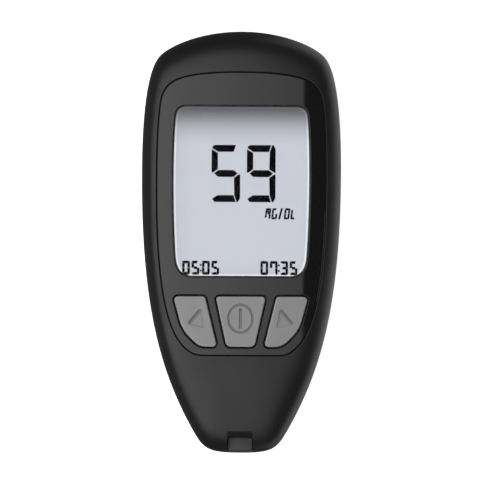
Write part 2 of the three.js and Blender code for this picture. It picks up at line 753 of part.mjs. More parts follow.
// Places of the cell pocket, the door and its hooks
const pocketNoseY = cellY - cellRadius - fitGap - doorNoseMargin;
const pocketEndY = cellY + cellRadius + fitGap + pocketWall;
const railInner = doorHalf - railWidth;
const railTop = doorThickness + seatGap + railThickness;
const hookOuter = railInner - fitGap;
const hookInner = hookOuter - hookThickness;
const hookTip = hookOuter + hookReach;
const hookBottom = railTop + seatGap;
const hookTop = hookBottom + hookThickness;
const labelMiddleY = noseScrewY + labelPlaceShare * (pocketNoseY - noseScrewY);
const hookYs = hookPlaceShares.map((share) => cellY + share * cellRadius);
const minusTailY = cellY - cellRadius + doorNoseMargin;
const plusLeafY = cellY + cellRadius + half(fitGap + contactSheet);
const plusTailY = plusLeafY + half(fitGap) + 4 * contactSheet;

// Rear shell: a shallow cup with the lip, the cell pocket, board posts, screw bosses and the label recess
function rearShell() {
  const lip = cut(
    prism(caseOutline(wall - lipThickness), rearTop - wall, lipTop), prism(caseOutline(wall), -overrun, ceiling),
  );
  const pocketSide = doorHalf + pocketWall;
  const pocket = block(-pocketSide, pocketSide, pocketNoseY - pocketWall, pocketEndY, half(wall), roofTop);
  const bosses = screws.map(({ place }) => cylinder(...place, bossRadius, half(wall), frontBase));
  const posts = postPlaceShares.flatMap((shares) =>
    [-1, 1].map((side) => cylinder(...casePoint(shares, side), postRadius, half(wall), roofTop, boreSides)),
  );
  const cup = joined([cut(rearSolid, rearHollow), lip]);
  const inside = joined([pocket, ...bosses, ...posts]).intersect(rearDome(ceiling, half(wall), hollowRings));
  const labelRecess = prism(labelOutline(seatGap), -overrun, labelSink);
  return cut(cup.add(inside), ...screwHoles(), ...cellRoom(), labelRecess);
}

function screwHoles() {
  return screws.flatMap(({ place }) => [
    cylinder(...place, screwRadius + screwGap, -overrun, ceiling, boreSides),
    cylinder(...place, screwHeadRadius + screwGap, -overrun, counterboreFloor),
  ]);
}

// The doorway, the round pocket for the cell, its contacts' slots, and the rails that the door's hooks run over
function cellRoom() {
  const beyond = halfLength + overrun;
  const doorway = block(-doorHalf, doorHalf, pocketNoseY, beyond, -overrun, doorThickness + seatGap);
  const endRoom = block(-doorHalf, doorHalf, pocketEndY, beyond, -overrun, doorEndHeight + seatGap);
  const well = cylinder(0, cellY, cellRadius + fitGap, -overrun, roofUnderside, roundSides);
  const grooves = hookYs.flatMap((y) =>
    [-1, 1].flatMap((side) => {
      const start = y - half(hookLength) - seatGap;
      const end = y + half(hookLength) + doorTravel + seatGap;
      const notch = end - hookLength - 2 * seatGap;
      const across = (outer) => inOrder(side * (hookInner - seatGap), side * outer);
      return [
        block(...across(railInner), start, end, -overrun, hookTop + seatGap),
        block(...across(hookTip + seatGap), start, end, railTop, hookTop + seatGap),
        block(...across(hookTip + seatGap), notch, end, -overrun, hookTop + seatGap),
      ];
    }),
  );
  const minusSide = half(minusWidth) + seatGap;
  const plusSide = half(plusWidth) + seatGap;
  const minusSlot = block(-minusSide, minusSide, minusTailY - fitGap, minusTailY + fitGap, -overrun, ceiling);
  const plusRoom = block(-plusSide, plusSide, cellY, plusTailY + fitGap, -overrun, roofUnderside);
  const plusSlot = block(-plusSide, plusSide, plusTailY - fitGap, plusTailY + fitGap, -overrun, ceiling);
  return [doorway, endRoom, well, ...grooves, minusSlot, plusRoom, plusSlot];
}

function labelOutline(margin) {
  const side = half(labelWidth) + margin;
  const end = half(labelLength) + margin;
  const corners = rectangle(-side, side, labelMiddleY - end, labelMiddleY + end);
  return roundedPolygon(corners, corners.map(() => labelRadius + margin));
}

const labelTop = labelSink - half(seatGap);
addPiece("rear_shell", rearShell(), satinBlack);
addPiece("rear_label", prism(labelOutline(0), labelTop - labelThickness, labelTop), labelFilm);

// Cell door: a slice of the rear shell's skin that slides off the display end on four hooks
function cellDoor() {
  const side = doorHalf - fitGap;
  const start = pocketNoseY + fitGap;
  const slice = block(-side, side, start, halfLength + overrun, doorSink, doorEndHeight);
  const underPocket = block(-doorHalf, doorHalf, pocketNoseY, pocketEndY + fitGap, doorThickness, ceiling);
  const inside = rearDome(rearTop + overrun, doorThickness, edgeRings);
  const skin = cut(rearSolid.intersect(slice), inside, underPocket);
  const hooks = hookYs.flatMap((y) =>
    [-1, 1].map((sign) => {
      const along = [y - half(hookLength), y + half(hookLength)];
      const stem = block(...inOrder(sign * hookInner, sign * hookOuter), ...along, half(doorThickness), hookTop);
      return stem.add(block(...inOrder(sign * hookInner, sign * hookTip), ...along, hookBottom, hookTop));
    }),
  );
  const grip = Array.from({ length: gripRidgeCount }, (_, i) => {
    const y = cellY + (i - half(gripRidgeCount - 1)) * gripPitch;
    return block(-half(gripWidth), half(gripWidth), y - half(gripGroove), y + half(gripGroove), -overrun, gripDepth);
  });
  return cut(joined([skin, ...hooks]), ...grip);
}

addPiece("cell_door", cellDoor(), satinBlack);

// Coin cell: a steel can, closed towards the board by a smaller cap
function coinCell() {
  const shoulder = cellTop - cellCapHeight;
  const profile = [
    [0, cellBottom], [cellRadius - fitGap, cellBottom], [cellRadius, cellBottom + fitGap], [cellRadius, shoulder],
    [cellCapRadius, shoulder], [cellCapRadius, cellTop - half(cellCapHeight)],
    [cellCapRadius - half(cellCapHeight), cellTop], [0, cellTop],
  ];
  return turned(profile, 0, cellY, roundSides);
}

// Cell contacts: bent nickel-plated leaves whose tails stand up through the pocket's roof to the board
function minusContact() {
  const high = roofUnderside - contactSheet;
  const low = cellTop + half(contactSheet + seatGap);
  const line = [
    [minusTailY, boardBottom - half(seatGap)], [minusTailY, high + contactSheet], [minusTailY + contactSheet, high],
    [cellY - half(minusWidth), high], [cellY, low], [cellY + half(minusWidth), high],
  ];
  return prismAcross(ribbonOutline(line, contactSheet), -half(minusWidth), half(minusWidth));
}

function plusContact() {
  const line = [
    [plusTailY, boardBottom - half(seatGap)], [plusTailY, cellTop], [plusLeafY, half(cellBottom + cellTop)],
    [plusTailY - contactSheet, cellBottom + fitGap],
  ];
  return prismAcross(ribbonOutline(line, contactSheet), -half(plusWidth), half(plusWidth));
}

addPiece("coin_cell", coinCell(), steel);
addPiece("cell_contact_minus", minusContact(), nickel);
addPiece("cell_contact_plus", plusContact(), nickel);

// Circuit board, notched round the screw bosses, with its chips on the underside
const boardNoseY = boardNoseSetback - halfLength;
const pocketWallY = pocketNoseY - pocketWall;

function mainBoard() {
  const sheet = prism(caseOutline(wall + boardEdgeGap), boardBottom, boardTop).intersect(
    block(-halfWidth, halfWidth, boardNoseY, halfLength, boardBottom - overrun, boardTop + overrun),
  );
  const notches = screws.map(({ place }) => cylinder(...place, bossRadius + fitGap, -overrun, ceiling));
  return cut(sheet, ...notches);
}

const solderLevel = boardBottom - half(seatGap);
const boardPoint = ([x, y]) => [x * halfWidth, pocketWallY + y * (boardNoseY - pocketWallY)];

function boardPart([x, y], width, length, height) {
  return block(
    x - half(width), x + half(width), y - half(length), y + half(length), solderLevel - height, solderLevel,
  );
}

const processor = boardPart(boardPoint(processorPlaceShares), processorSide, processorSide, processorHeight);
const memory = boardPart(boardPoint(memoryPlaceShares), chipLongSide, chipShortSide, chipHeight);
const analog = boardPart(boardPoint(analogPlaceShares), chipShortSide, chipLongSide, chipHeight);
const capacitor = boardPart(boardPoint(capacitorPlaceShares), capacitorWidth, capacitorLength, capacitorHeight);
const thermistor = boardPart(boardPoint(thermistorPlaceShares), thermistorWidth, thermistorLength, thermistorHeight);
addPiece("main_board", mainBoard(), greenBoard);
addPiece("processor_chip", processor, chipBlack);
addPiece("memory_chip", memory, chipBlack);
addPiece("analog_chip", analog, chipBlack);
addPiece("storage_capacitor", capacitor, chipBlack);
addPiece("thermistor", thermistor, chipBlack);
const [crystalX, crystalY] = boardPoint(crystalPlaceShares);
const crystal = new THREE.CylinderGeometry(crystalRadius, crystalRadius, crystalLength, boreSides);
addPiece("clock_crystal", solidOf(crystal.translate(crystalX, crystalY, solderLevel - crystalRadius)), steel);

// Strip port: a moulded connector on the board whose tongue carries the strip in from the notch
const contactXs = Array.from(
  { length: stripContactCount }, (_, i) => (i - half(stripContactCount - 1)) * stripContactPitch,
);

function stripPort() {
  const body = block(-half(portWidth), half(portWidth), portNoseY, portBackY, portBottom, portTop);
  const tongue = block(
    tonguePlay - slotSide, slotSide - tonguePlay, portTongueInset - halfLength, portNoseY + seatGap,
    portTongueBottom, stripFloor,
  );
  const passage = block(-slotSide, slotSide, portNoseY - overrun, portBackY - portBackWall, stripFloor, stripRoof);
  const slots = contactXs.map((x) =>
    block(
      x - half(stripContactSlot), x + half(stripContactSlot), portNoseY + portBackWall, portBackY + overrun,
      stripRoof - seatGap, ceiling,
    ),
  );
  return cut(body.add(tongue), passage, ...slots);
}

function stripContact(x) {
  const tailY = portBackY + fitGap + half(contactSheet);
  const high = portTop - contactSheet;
  const line = [
    [tailY, boardTop + half(seatGap)], [tailY, high - contactSheet], [tailY - contactSheet, high],
    [portBackY - portBackWall, high], [portNoseY + half(portLength) - portBackWall, stripFloor + 2 * contactSheet],
    [portNoseY + portBackWall + fitGap, stripRoof],
  ];
  return prismAcross(ribbonOutline(line, contactSheet), x - half(stripContactWidth), x + half(stripContactWidth));
}

addPiece("strip_port", stripPort(), portPlastic);
contactXs.forEach((x, i) => addPiece(`strip_contact_${i + 1}`, stripContact(x), gold));

// Case screws: pan heads with a cross recess, driven from the back into the front shell's bosses
function caseScrew(x, y) {
  const seat = counterboreFloor - half(seatGap);
  const headBottom = seat - screwHeadHeight;
  const tip = seat + screwLength;
  const profile = [
    [0, headBottom], [half(screwHeadRadius), headBottom], [screwHeadRadius, seat - half(screwHeadHeight)],
    [screwHeadRadius, seat], [screwRadius, seat], [screwRadius, tip - screwRadius], [0, tip],
  ];
  const arm = screwCrossShare * screwHeadRadius;
  const slit = half(screwCrossWidth);
  const recessTop = headBottom + screwCrossDepth;
  return cut(
    turned(profile, x, y, smallRoundSides),
    block(x - arm, x + arm, y - slit, y + slit, -overrun, recessTop),
    block(x - slit, x + slit, y - arm, y + arm, -overrun, recessTop),
  );
}

screws.forEach(({ name, place }) => addPiece(name, caseScrew(...place), steel));

export default meter;
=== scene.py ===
import math

import bpy
import numpy as np
from mathutils import Matrix, Vector, geometry


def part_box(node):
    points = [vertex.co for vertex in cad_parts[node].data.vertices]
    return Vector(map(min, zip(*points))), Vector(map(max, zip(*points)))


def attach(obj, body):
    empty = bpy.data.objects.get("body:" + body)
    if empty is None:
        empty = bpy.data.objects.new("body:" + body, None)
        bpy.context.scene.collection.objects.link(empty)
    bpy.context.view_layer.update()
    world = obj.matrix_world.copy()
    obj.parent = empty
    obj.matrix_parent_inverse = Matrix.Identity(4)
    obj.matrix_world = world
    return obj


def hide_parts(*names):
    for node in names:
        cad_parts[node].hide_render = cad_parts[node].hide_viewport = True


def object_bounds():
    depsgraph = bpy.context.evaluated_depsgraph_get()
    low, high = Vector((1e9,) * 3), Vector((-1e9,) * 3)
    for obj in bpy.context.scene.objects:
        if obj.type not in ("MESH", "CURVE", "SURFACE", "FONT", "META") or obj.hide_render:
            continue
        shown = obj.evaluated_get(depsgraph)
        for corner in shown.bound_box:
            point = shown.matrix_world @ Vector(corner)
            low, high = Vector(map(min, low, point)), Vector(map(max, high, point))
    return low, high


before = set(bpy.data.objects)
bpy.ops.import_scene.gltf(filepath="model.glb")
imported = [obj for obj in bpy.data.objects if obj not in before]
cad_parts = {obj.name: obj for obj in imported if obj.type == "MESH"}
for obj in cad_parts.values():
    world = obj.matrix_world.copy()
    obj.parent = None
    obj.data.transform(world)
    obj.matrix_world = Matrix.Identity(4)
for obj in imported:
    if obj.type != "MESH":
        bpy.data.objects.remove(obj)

cad_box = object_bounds()
MM = 0.001

# Table, studio light and camera. The meter lies on a white table under one broad soft light that stands to
# its left, with a low strip light on its right, and a long lens looks straight down on it.
photo_width = 113.8 * MM
photo_centre = Vector((-0.26, 0.53, 10)) * MM
photo_turn = math.radians(0.32)
camera_lens = 400
camera_sensor = 36
table_size = 3
table_level = -0.05 * MM
table_glow = 0.9
table_white = 0.8
# Seen only in the meter's mirroring edges: painted shade of the table, darker on the left, and a painted glow
# towards the right.
table_painted_shades = (0.12, 0.7)
table_painted_gleams = (0, 0.33)
table_shade_reach = (0.008, 0.026)
studio_glow = 0.08

camera_data = bpy.data.cameras.new("camera")
camera_data.lens = camera_lens
camera_data.sensor_width = camera_sensor
camera_distance = photo_width * camera_lens / camera_sensor
camera_data.clip_end = 10 * camera_distance
camera = bpy.data.objects.new("camera", camera_data)
camera.location = photo_centre + Vector((0, 0, camera_distance))
camera.rotation_euler = (0, 0, photo_turn)
bpy.context.scene.collection.objects.link(camera)
bpy.context.scene.camera = camera
bpy.context.scene.view_settings.view_transform = "Standard"


def new_material(name, colour, roughness, **constants):
    """A material, its tree, and its Principled shader, whose plain values are set on its own sockets."""
    material = bpy.data.materials.new(name)
    material.use_nodes = True
    shader = material.node_tree.nodes["Principled BSDF"]
    shader.inputs["Base Color"].default_value = (*colour, 1)
    shader.inputs["Roughness"].default_value = roughness
    for socket, value in constants.items():
        shader.inputs[socket.replace("_", " ")].default_value = value
    return material, material.node_tree, shader


def add_node(tree, kind, values=(), **settings):
    """A node with its settings, and what feeds its inputs: an output to link, or a plain value."""
    node = tree.nodes.new(kind)
    for setting, value in settings.items():
        setattr(node, setting, value)
    for key, value in dict(values).items():
        socket = node.inputs[key]
        if isinstance(value, bpy.types.NodeSocket):
            tree.links.new(value, socket)
        else:
            socket.default_value = value
    return node


def feed(shader, **outputs):
    """Links outputs to a shader's inputs, whose names are written with underscores."""
    for socket, output in outputs.items():
        shader.id_data.links.new(output, shader.inputs[socket.replace("_", " ")])


def own_place(tree):
    """Where a point lies on its own piece, in metres."""
    return add_node(tree, "ShaderNodeTexCoord").outputs["Object"]


def noise(tree, scale, detail=2.0, place=None):
    """Noise over the piece itself, or over other places. The scale counts patches in a metre."""
    values = {"Vector": place or own_place(tree), "Scale": scale, "Detail": detail}
    return add_node(tree, "ShaderNodeTexNoise", values).outputs["Fac"]


def between(tree, factor, low, high):
    """A value that runs from low to high with a factor. Low and high may be values or outputs."""
    values = {"Value": factor, "To Min": low, "To Max": high}
    return add_node(tree, "ShaderNodeMapRange", values).outputs["Result"]


def risen(tree, value, start, end):
    """How far a value has run from one level to another, from 0 to 1."""
    values = {"Value": value, "From Min": start, "From Max": end}
    return add_node(tree, "ShaderNodeMapRange", values).outputs["Result"]


def ramped(tree, factor, levels):
    """A grey that follows a factor by (place, level) pairs, the two ends given first."""
    ramp = add_node(tree, "ShaderNodeValToRGB", {"Fac": factor})
    stops = ramp.color_ramp.elements
    for i, (at, level) in enumerate(levels):
        stop = stops[i] if i < 2 else stops.new(at)
        stop.position = at
        stop.color = (level, level, level, 1)
    return ramp.outputs["Color"]


def span(half):
    """The range that reaches as far to both sides of zero."""
    return -half, half


def rectangle(x, y):
    """The corners over a range in x and one in y, counter-clockwise."""
    return np.array([[x[0], y[0]], [x[1], y[0]], [x[1], y[1]], [x[0], y[1]]], float)


def lacquered_table():
    """White to the camera. To the meter's edges it shows painted shade on its left and a painted glow on its
    right, which they mirror as painted reflections.
    """
    material, tree, shader = new_material("lacquered_table", (1, 1, 1), 0.6, Emission_Color=(1, 1, 1, 1))
    seen = add_node(tree, "ShaderNodeLightPath").outputs["Is Camera Ray"]
    across = add_node(tree, "ShaderNodeSeparateXYZ", {"Vector": own_place(tree)}).outputs["X"]
    to_right = risen(tree, across, *table_shade_reach)
    feed(
        shader, Roughness=between(tree, noise(tree, 40), 0.55, 0.7),
        Base_Color=between(tree, seen, between(tree, to_right, *table_painted_shades), table_white),
        Emission_Strength=between(tree, seen, between(tree, to_right, *table_painted_gleams), table_glow),
    )
    return material


table_mesh = bpy.data.meshes.new("table_top")
table_corners = [(x, y, table_level) for x, y in rectangle(span(table_size / 2), span(table_size / 2))]
table_mesh.from_pydata(table_corners, [], [(0, 1, 2, 3)])
table_top = bpy.data.objects.new("table_top", table_mesh)
table_mesh.materials.append(lacquered_table())
bpy.context.scene.collection.objects.link(table_top)


def soft_light(name, radiance, width, length, place, aim, shares=()):
    """A flat soft light that the camera doesn't see. Shares of its brightness may be given across its
    width."""
    data = bpy.data.lights.new(name, "AREA")
    data.shape = "RECTANGLE"
    data.size = width
    data.size_y = length
    data.energy = radiance * math.pi * width * length
    if shares:
        data.use_nodes = True
        tree = data.node_tree
        on_light = add_node(tree, "ShaderNodeNewGeometry").outputs["Parametric"]
        across = add_node(tree, "ShaderNodeSeparateXYZ", {"Vector": on_light}).outputs["X"]
        feed(tree.nodes["Emission"], Strength=ramped(tree, across, shares))
    light = bpy.data.objects.new(name, data)
    light.location = place
    light.rotation_euler = (Vector(place) - Vector(aim)).to_track_quat("Z", "Y").to_euler()
    light.visible_camera = False
    bpy.context.scene.collection.objects.link(light)


fall_off_shares = [
    (0, 0.5), (1, 0.8), (0.025, 0.58), (0.059, 0.68), (0.092, 0.8), (0.122, 0.87), (0.155, 1), (0.8, 1),
]
soft_light(
    "broad_light", radiance=1.7, width=1.55, length=1.16, place=(-0.667, -0.08, 0.6), aim=(-0.667, -0.08, 0),
    shares=fall_off_shares,
)
soft_light("strip_light", radiance=0.8, width=0.18, length=0.7, place=(0.75, -0.1, 0.12), aim=(0, -0.1, 0.01))

world = bpy.data.worlds.new("studio")
world.use_nodes = True
background = world.node_tree.nodes["Background"]
background.inputs["Color"].default_value = (1, 1, 1, 1)
background.inputs["Strength"].default_value = studio_glow
bpy.context.scene.world = world

# Front shell: the front half of the egg-shaped case, injection moulded in black ABS with a fine satin grain.
# The glossy fascia lies in its recess, four screws from the back hold it to the rear shell, and a notch in
# its nose guides the test strip.
half_width, half_length = (cad_box[1] / MM).xy
wall = 1.8
seat_gap = 0.1
seam_rounding = 0.16
front_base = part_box("front_shell")[0].z / MM
front_height = 9.4
front_peak_y = 12
front_end_drop = 0.08
front_nose_drop = 0.38
front_side_crown = 1
front_edge_power = 16
front_edge_roundness = 2.2
fascia_half = 20
case_outline_shares = [
    [0, 1], [0.403, 1], [0.713, 0.935], [0.821, 0.885], [0.997, 0.803], [1, 0.447], [1, 0.322],
    [1, -0.278], [0.82, -0.6], [0.492, -0.879], [0.373, -0.981], [0.339, -1], [0, -1],
]
fascia_outline_shares = [
    [0, 1], [0.5, 1], [0.7, 0.969], [0.8, 0.936], [0.895, 0.904], [0.945, 0.852], [0.96, 0.78],
    [0.993, 0.637], [1, 0.457], [1, 0.218], [1, -0.23], [0.955, -0.709], [0.725, -0.9], [0.625, -0.98],
    [0.55, -1], [0.43, -1],
]
window_outline_shares = [
    [0.791, 1], [0.914, 1], [0.957, 0.951], [0.969, 0.867], [1.009, 0.591], [1.012, -0.199], [0.966, -0.751],
    [0.951, -0.919], [0.871, -1], [0.712, -1],
]
fascia_foot, fascia_top = (corner.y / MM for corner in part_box("fascia"))
key_row_top = -12.8
key_height = 11.9
key_gap = 0.36
key_hole_gap = 0.45
side_key_corner_shares = [[0.4225, 0], [0.7975, 0], [0.6875, 0.676], [0.485, 1], [0.2775, 1]]
side_key_radii = [0.8, 0.9, 9, 4, 0.8]
middle_key_corner_shares = [[-0.296, 0], [0.296, 0], [0.165, 1], [-0.165, 1]]
middle_key_radii = [0.7, 0.7, 1.3, 1.3]
window_half = 16.3
window_foot = -8.25
window_top = 32.3
fascia_gap = 0.1
fascia_depth = 1.3
ledge_depth = 2.3
ledge_overhang = 1.6
ledge_top_depth = 0.6
ledge_rounding = 0.05
shell_rounding = 0.2
slot_half = 3.05
notch_floor = 8.45
notch_roof = 10.75
notch_roof_y = -46.4
notch_top_y = -45.0
notch_rounding = 0.35
notch_corner = 0.5
port_front_y = -42.3
boss_radius = 2.4
pilot_radius = 1.25
pilot_top = 11.2
rebate_inset = 0.8
rebate_top = 8.65
overrun = 2
clear_top = 25
surface_nearness = 0.02
surface_agreement = 0.985
steepest_rise = 0.3


def half_turned(shares, steps=24):
    """Points on the right half of an outline. Its shares are cubic end points with their handles between."""
    shares = np.array(shares, float)
    points = [shares[:1]]
    t = np.linspace(0, 1, steps + 1)[1:, None]
    for i in range(0, len(shares) - 3, 3):
        a, b, c, d = shares[i:i + 4]
        points.append((1 - t) ** 3 * a + 3 * (1 - t) ** 2 * t * b + 3 * (1 - t) * t ** 2 * c + t ** 3 * d)
    return np.vstack(points)


def evenly(outline, count):
    """A closed outline again, with evenly spaced points."""
    closed = np.vstack([outline, outline[:1]])
    run = np.concatenate([[0], np.cumsum(np.hypot(*np.diff(closed, axis=0).T))])
    stops = np.linspace(0, run[-1], count, endpoint=False)
    return np.column_stack([np.interp(stops, run, closed[:, axis]) for axis in (0, 1)])


def oval(radius_x, radius_y, centre=(0, 0), count=96):
    """An ellipse, counter-clockwise."""
    angle = np.linspace(0, 2 * math.pi, count, endpoint=False)
    return np.column_stack([radius_x * np.cos(angle), radius_y * np.sin(angle)]) + centre


def outline_of(shares, count, half_x, foot, top):
    """A symmetric outline at its real size, counter-clockwise."""
    right = half_turned(shares)[::-1]
    left = right[::-1] * (-1, 1)
    both = np.vstack([right, left[left[:, 0] < 0]])
    return evenly(both * (half_x, (top - foot) / 2) + (0, (top + foot) / 2), count)


case_unit = outline_of(case_outline_shares, 360, 1, -1, 1)


def drawn_in(inset):
    """The case's outline, drawn in by a distance."""
    return case_unit * (half_width - inset, half_length - inset)


gauge = outline_of(case_outline_shares, 4000, 1, -1, 1)
gauge_angle = np.arctan2(gauge[:, 1], gauge[:, 0])
gauge_order = np.argsort(gauge_angle)
gauge_reach = np.hypot(*gauge.T)[gauge_order]
gauge_angle = gauge_angle[gauge_order]


def egg_share(x, y):
    """How far out points lie: 0 at the middle of the case, and 1 on its outline."""
    u, v = x / half_width, y / half_length
    return np.hypot(u, v) / np.interp(np.arctan2(v, u), gauge_angle, gauge_reach, period=2 * math.pi)


def crown_height(x, y):
    """How high the front's gentle crown stands over its base, without the rounded shoulders."""
    end = np.where(y > front_peak_y, half_length - front_peak_y, -half_length - front_peak_y)
    drop = np.where(y > front_peak_y, front_end_drop, front_nose_drop) * ((y - front_peak_y) / end) ** 2
    return front_height * (1 - drop) - front_side_crown * (x / fascia_half) ** 2


def front_level(x, y):
    """Height of the front's outer surface over points."""
    rise = (1 - np.minimum(egg_share(x, y), 1) ** front_edge_power) ** (1 / front_edge_roundness)
    return front_base + rise * crown_height(x, y)


def below(surface, depth):
    """A surface moved down by a depth, or up by a negative one."""
    return lambda x, y: surface(x, y) - depth


def lowered(depth):
    """The front's surface moved down by a depth."""
    return below(front_level, depth)


class Sum:
    """Arithmetic on the sockets of a node tree, so that a formula can be written as one."""

    def __init__(self, tree, socket):
        self.tree, self.socket = tree, socket

    def step(self, operation, *others):
        values = {i: v.socket if isinstance(v, Sum) else v for i, v in enumerate((self, *others))}
        return Sum(self.tree, add_node(self.tree, "ShaderNodeMath", values, operation=operation).outputs[0])

    def __add__(self, other):
        return self.step("ADD", other)

    def __sub__(self, other):
        return self.step("SUBTRACT", other)

    def __mul__(self, other):
        return self.step("MULTIPLY", other)

    def __truediv__(self, other):
        return self.step("DIVIDE", other)

    def __pow__(self, other):
        return self.step("POWER", other)


def new_tree(name, inputs, kind="GeometryNodeTree"):
    """An empty node tree with named inputs, given as {name: socket type}."""
    tree = bpy.data.node_groups.new(name, kind)
    for socket, socket_type in inputs.items():
        tree.interface.new_socket(socket, in_out="INPUT", socket_type="NodeSocket" + socket_type)
    return tree, tree.nodes.new("NodeGroupInput").outputs


def end_tree(tree, shape, material):
    """Ends a geometry tree in plain faces of one material."""
    tree.interface.new_socket("Piece", in_out="OUTPUT", socket_type="NodeSocketGeometry")
    plain = add_node(tree, "GeometryNodeRealizeInstances", {"Geometry": shape}).outputs[0]
    painted = add_node(tree, "GeometryNodeSetMaterial", {"Geometry": plain, "Material": material}).outputs[0]
    tree.links.new(painted, tree.nodes.new("NodeGroupOutput").inputs[0])
    return tree


def stored(tree, name, data_type="FLOAT"):
    """A value that is stored on a mesh's points."""
    node = add_node(tree, "GeometryNodeInputNamedAttribute", {"Name": name}, data_type=data_type)
    return Sum(tree, node.outputs[0])


def egg_dome_tree():
    """Lifts a flat egg-shaped sheet into one half of the case. Lengths are in millimetres."""
    lengths = [
        "Half width", "Half length", "Inset", "Seam level", "Upwards", "Height", "Foot depth",
        "Seam rounding", "Edge power", "Edge roundness", "Peak place", "Drop towards the end",
        "Drop towards the nose", "Side crown", "Crown half width", "Rest level", "Rest softness",
    ]
    sockets = {"Sheet": "Geometry", "Material": "Material", **{name: "Float" for name in lengths}}
    tree, given = new_tree("egg_dome", sockets)
    size = {name: Sum(tree, given[name]) for name in lengths}
    position = add_node(tree, "GeometryNodeInputPosition").outputs[0]
    place = add_node(tree, "ShaderNodeSeparateXYZ", {0: position})
    share, foot = stored(tree, "share"), stored(tree, "foot")
    inwards = size["Inset"] + foot * size["Seam rounding"]
    x = Sum(tree, place.outputs["X"]) * (size["Half width"] - inwards)
    y = Sum(tree, place.outputs["Y"]) * (size["Half length"] - inwards)
    along = y - size["Peak place"]
    to_end = (along / (size["Half length"] - size["Peak place"])) ** 2.0
    to_nose = (along / (size["Half length"] + size["Peak place"])) ** 2.0
    past_peak = along.step("GREATER_THAN", 0.0)
    drop_to_end = past_peak * to_end * size["Drop towards the end"]
    drop_to_nose = (past_peak * -1.0 + 1.0) * to_nose * size["Drop towards the nose"]
    crown = (x / size["Crown half width"]) ** 2.0 * size["Side crown"]
    height = size["Height"] - (drop_to_end + drop_to_nose) * size["Height"] - crown - size["Inset"]
    rise = ((share ** size["Edge power"]) * -1.0 + 1.0).step("MAXIMUM", 0.0)
    rise = rise ** (size["Edge roundness"] ** -1.0)
    lifted = (rise * height).step("MAXIMUM", size["Seam rounding"]) * (foot * -1.0 + 1.0)
    level = (lifted - foot * size["Foot depth"]) * size["Upwards"] + size["Seam level"]
    over_rest = level - size["Rest level"]
    softness = size["Rest softness"]
    sunk_in = (over_rest + softness).step("MAXIMUM", 0.0).step("MINIMUM", softness * 2.0)
    z = over_rest.step("MAXIMUM", sunk_in ** 2.0 / (softness * 4.0)) + size["Rest level"]
    metres = {axis: (length * MM).socket for axis, length in enumerate((x, y, z))}
    where = add_node(tree, "ShaderNodeCombineXYZ", metres).outputs[0]
    lift = {"Geometry": given["Sheet"], "Position": where}
    moved = add_node(tree, "GeometryNodeSetPosition", lift).outputs[0]
    hangs = size["Upwards"].step("LESS_THAN", 0.0).socket
    outwards = add_node(tree, "GeometryNodeFlipFaces", {"Mesh": moved, "Selection": hangs}).outputs[0]
    return end_tree(tree, outwards, given["Material"])


egg_dome = egg_dome_tree()


def new_piece(name, points, faces):
    """An object whose mesh has these points, in millimetres."""
    mesh = bpy.data.meshes.new(name)
    mesh.from_pydata((np.asarray(points, float) * MM).tolist(), [], faces)
    piece = bpy.data.objects.new(name, mesh)
    bpy.context.scene.collection.objects.link(piece)
    return piece


def freeze(piece):
    """Swaps a piece's mesh for what its modifiers make of it."""
    graph = bpy.context.evaluated_depsgraph_get()
    mesh = bpy.data.meshes.new_from_object(piece.evaluated_get(graph))
    piece.modifiers.clear()
    piece.data = mesh


def grow(piece, tree, **values):
    """Runs a geometry tree on a piece, with its named inputs written with underscores."""
    modifier = piece.modifiers.new(tree.name, "NODES")
    modifier.node_group = tree
    for socket in tree.interface.items_tree:
        key = socket.name.replace(" ", "_")
        if key in values:
            modifier[socket.identifier] = values[key]
    freeze(piece)


def edge_shares(count, power, roundness):
    """How far out each ring of a dome lies, from its seam to where its side has risen."""
    rises = np.sin(np.linspace(0, math.pi / 2, count, endpoint=False))
    return (1 - rises ** roundness) ** (1 / power)


def ring_faces(count, rings, low_pole, high_pole):
    """Faces over rings of points that follow each other, closed by a pole at each end."""
    faces = []
    last = (rings - 1) * count
    for i in range(count):
        j = (i + 1) % count
        faces += [(low_pole, j, i), (last + i, last + j, high_pole)]
        faces += [(low + i, low + j, low + count + j, low + count + i) for low in range(0, last, count)]
    return faces


def egg_sheet(name, unit, top_shares, foot_shares=(1, 0.6, 0.25)):
    """A flat closed sheet: rings of the egg outline that become the dome, and rings behind them for its
    foot."""
    shares = [*foot_shares[::-1], *top_shares]
    feet = [1.0] * len(foot_shares) + [0.0] * len(top_shares)
    count = len(unit)
    rings = np.vstack([unit * share for share in shares])
    points = np.column_stack([np.vstack([rings, [[0, 0], [0, 0]]]), np.zeros(len(rings) + 2)])
    faces = ring_faces(count, len(shares), len(rings), len(rings) + 1)
    piece = new_piece(name, points / MM, faces)
    for attribute, values, poles in (("share", shares, [0, 0]), ("foot", feet, [1, 0])):
        values = np.append(np.repeat(values, count), poles)
        piece.data.attributes.new(attribute, "FLOAT", "POINT").data.foreach_set("value", values)
    return piece


front_rule = dict(
    Half_width=half_width, Half_length=half_length, Seam_level=front_base, Upwards=1.0, Height=front_height,
    Edge_power=float(front_edge_power), Edge_roundness=front_edge_roundness, Peak_place=float(front_peak_y),
    Drop_towards_the_end=front_end_drop, Drop_towards_the_nose=front_nose_drop,
    Side_crown=float(front_side_crown), Crown_half_width=float(fascia_half), Rest_level=-50.0,
    Rest_softness=0.1,
)
front_shares = [*edge_shares(22, front_edge_power, front_edge_roundness), 0.66, 0.55, 0.42, 0.28, 0.14]
front_shell = egg_sheet("front_shell_moulding", case_unit, front_shares)
grow(front_shell, egg_dome, **front_rule, Inset=0.0, Foot_depth=0.0, Seam_rounding=seam_rounding)
hollow_shares = [*edge_shares(8, front_edge_power, front_edge_roundness), 0.6, 0.3]
front_hollow = egg_sheet("front_hollow", case_unit[::3], hollow_shares)
grow(front_hollow, egg_dome, **front_rule, Inset=wall, Foot_depth=float(overrun), Seam_rounding=0.0)


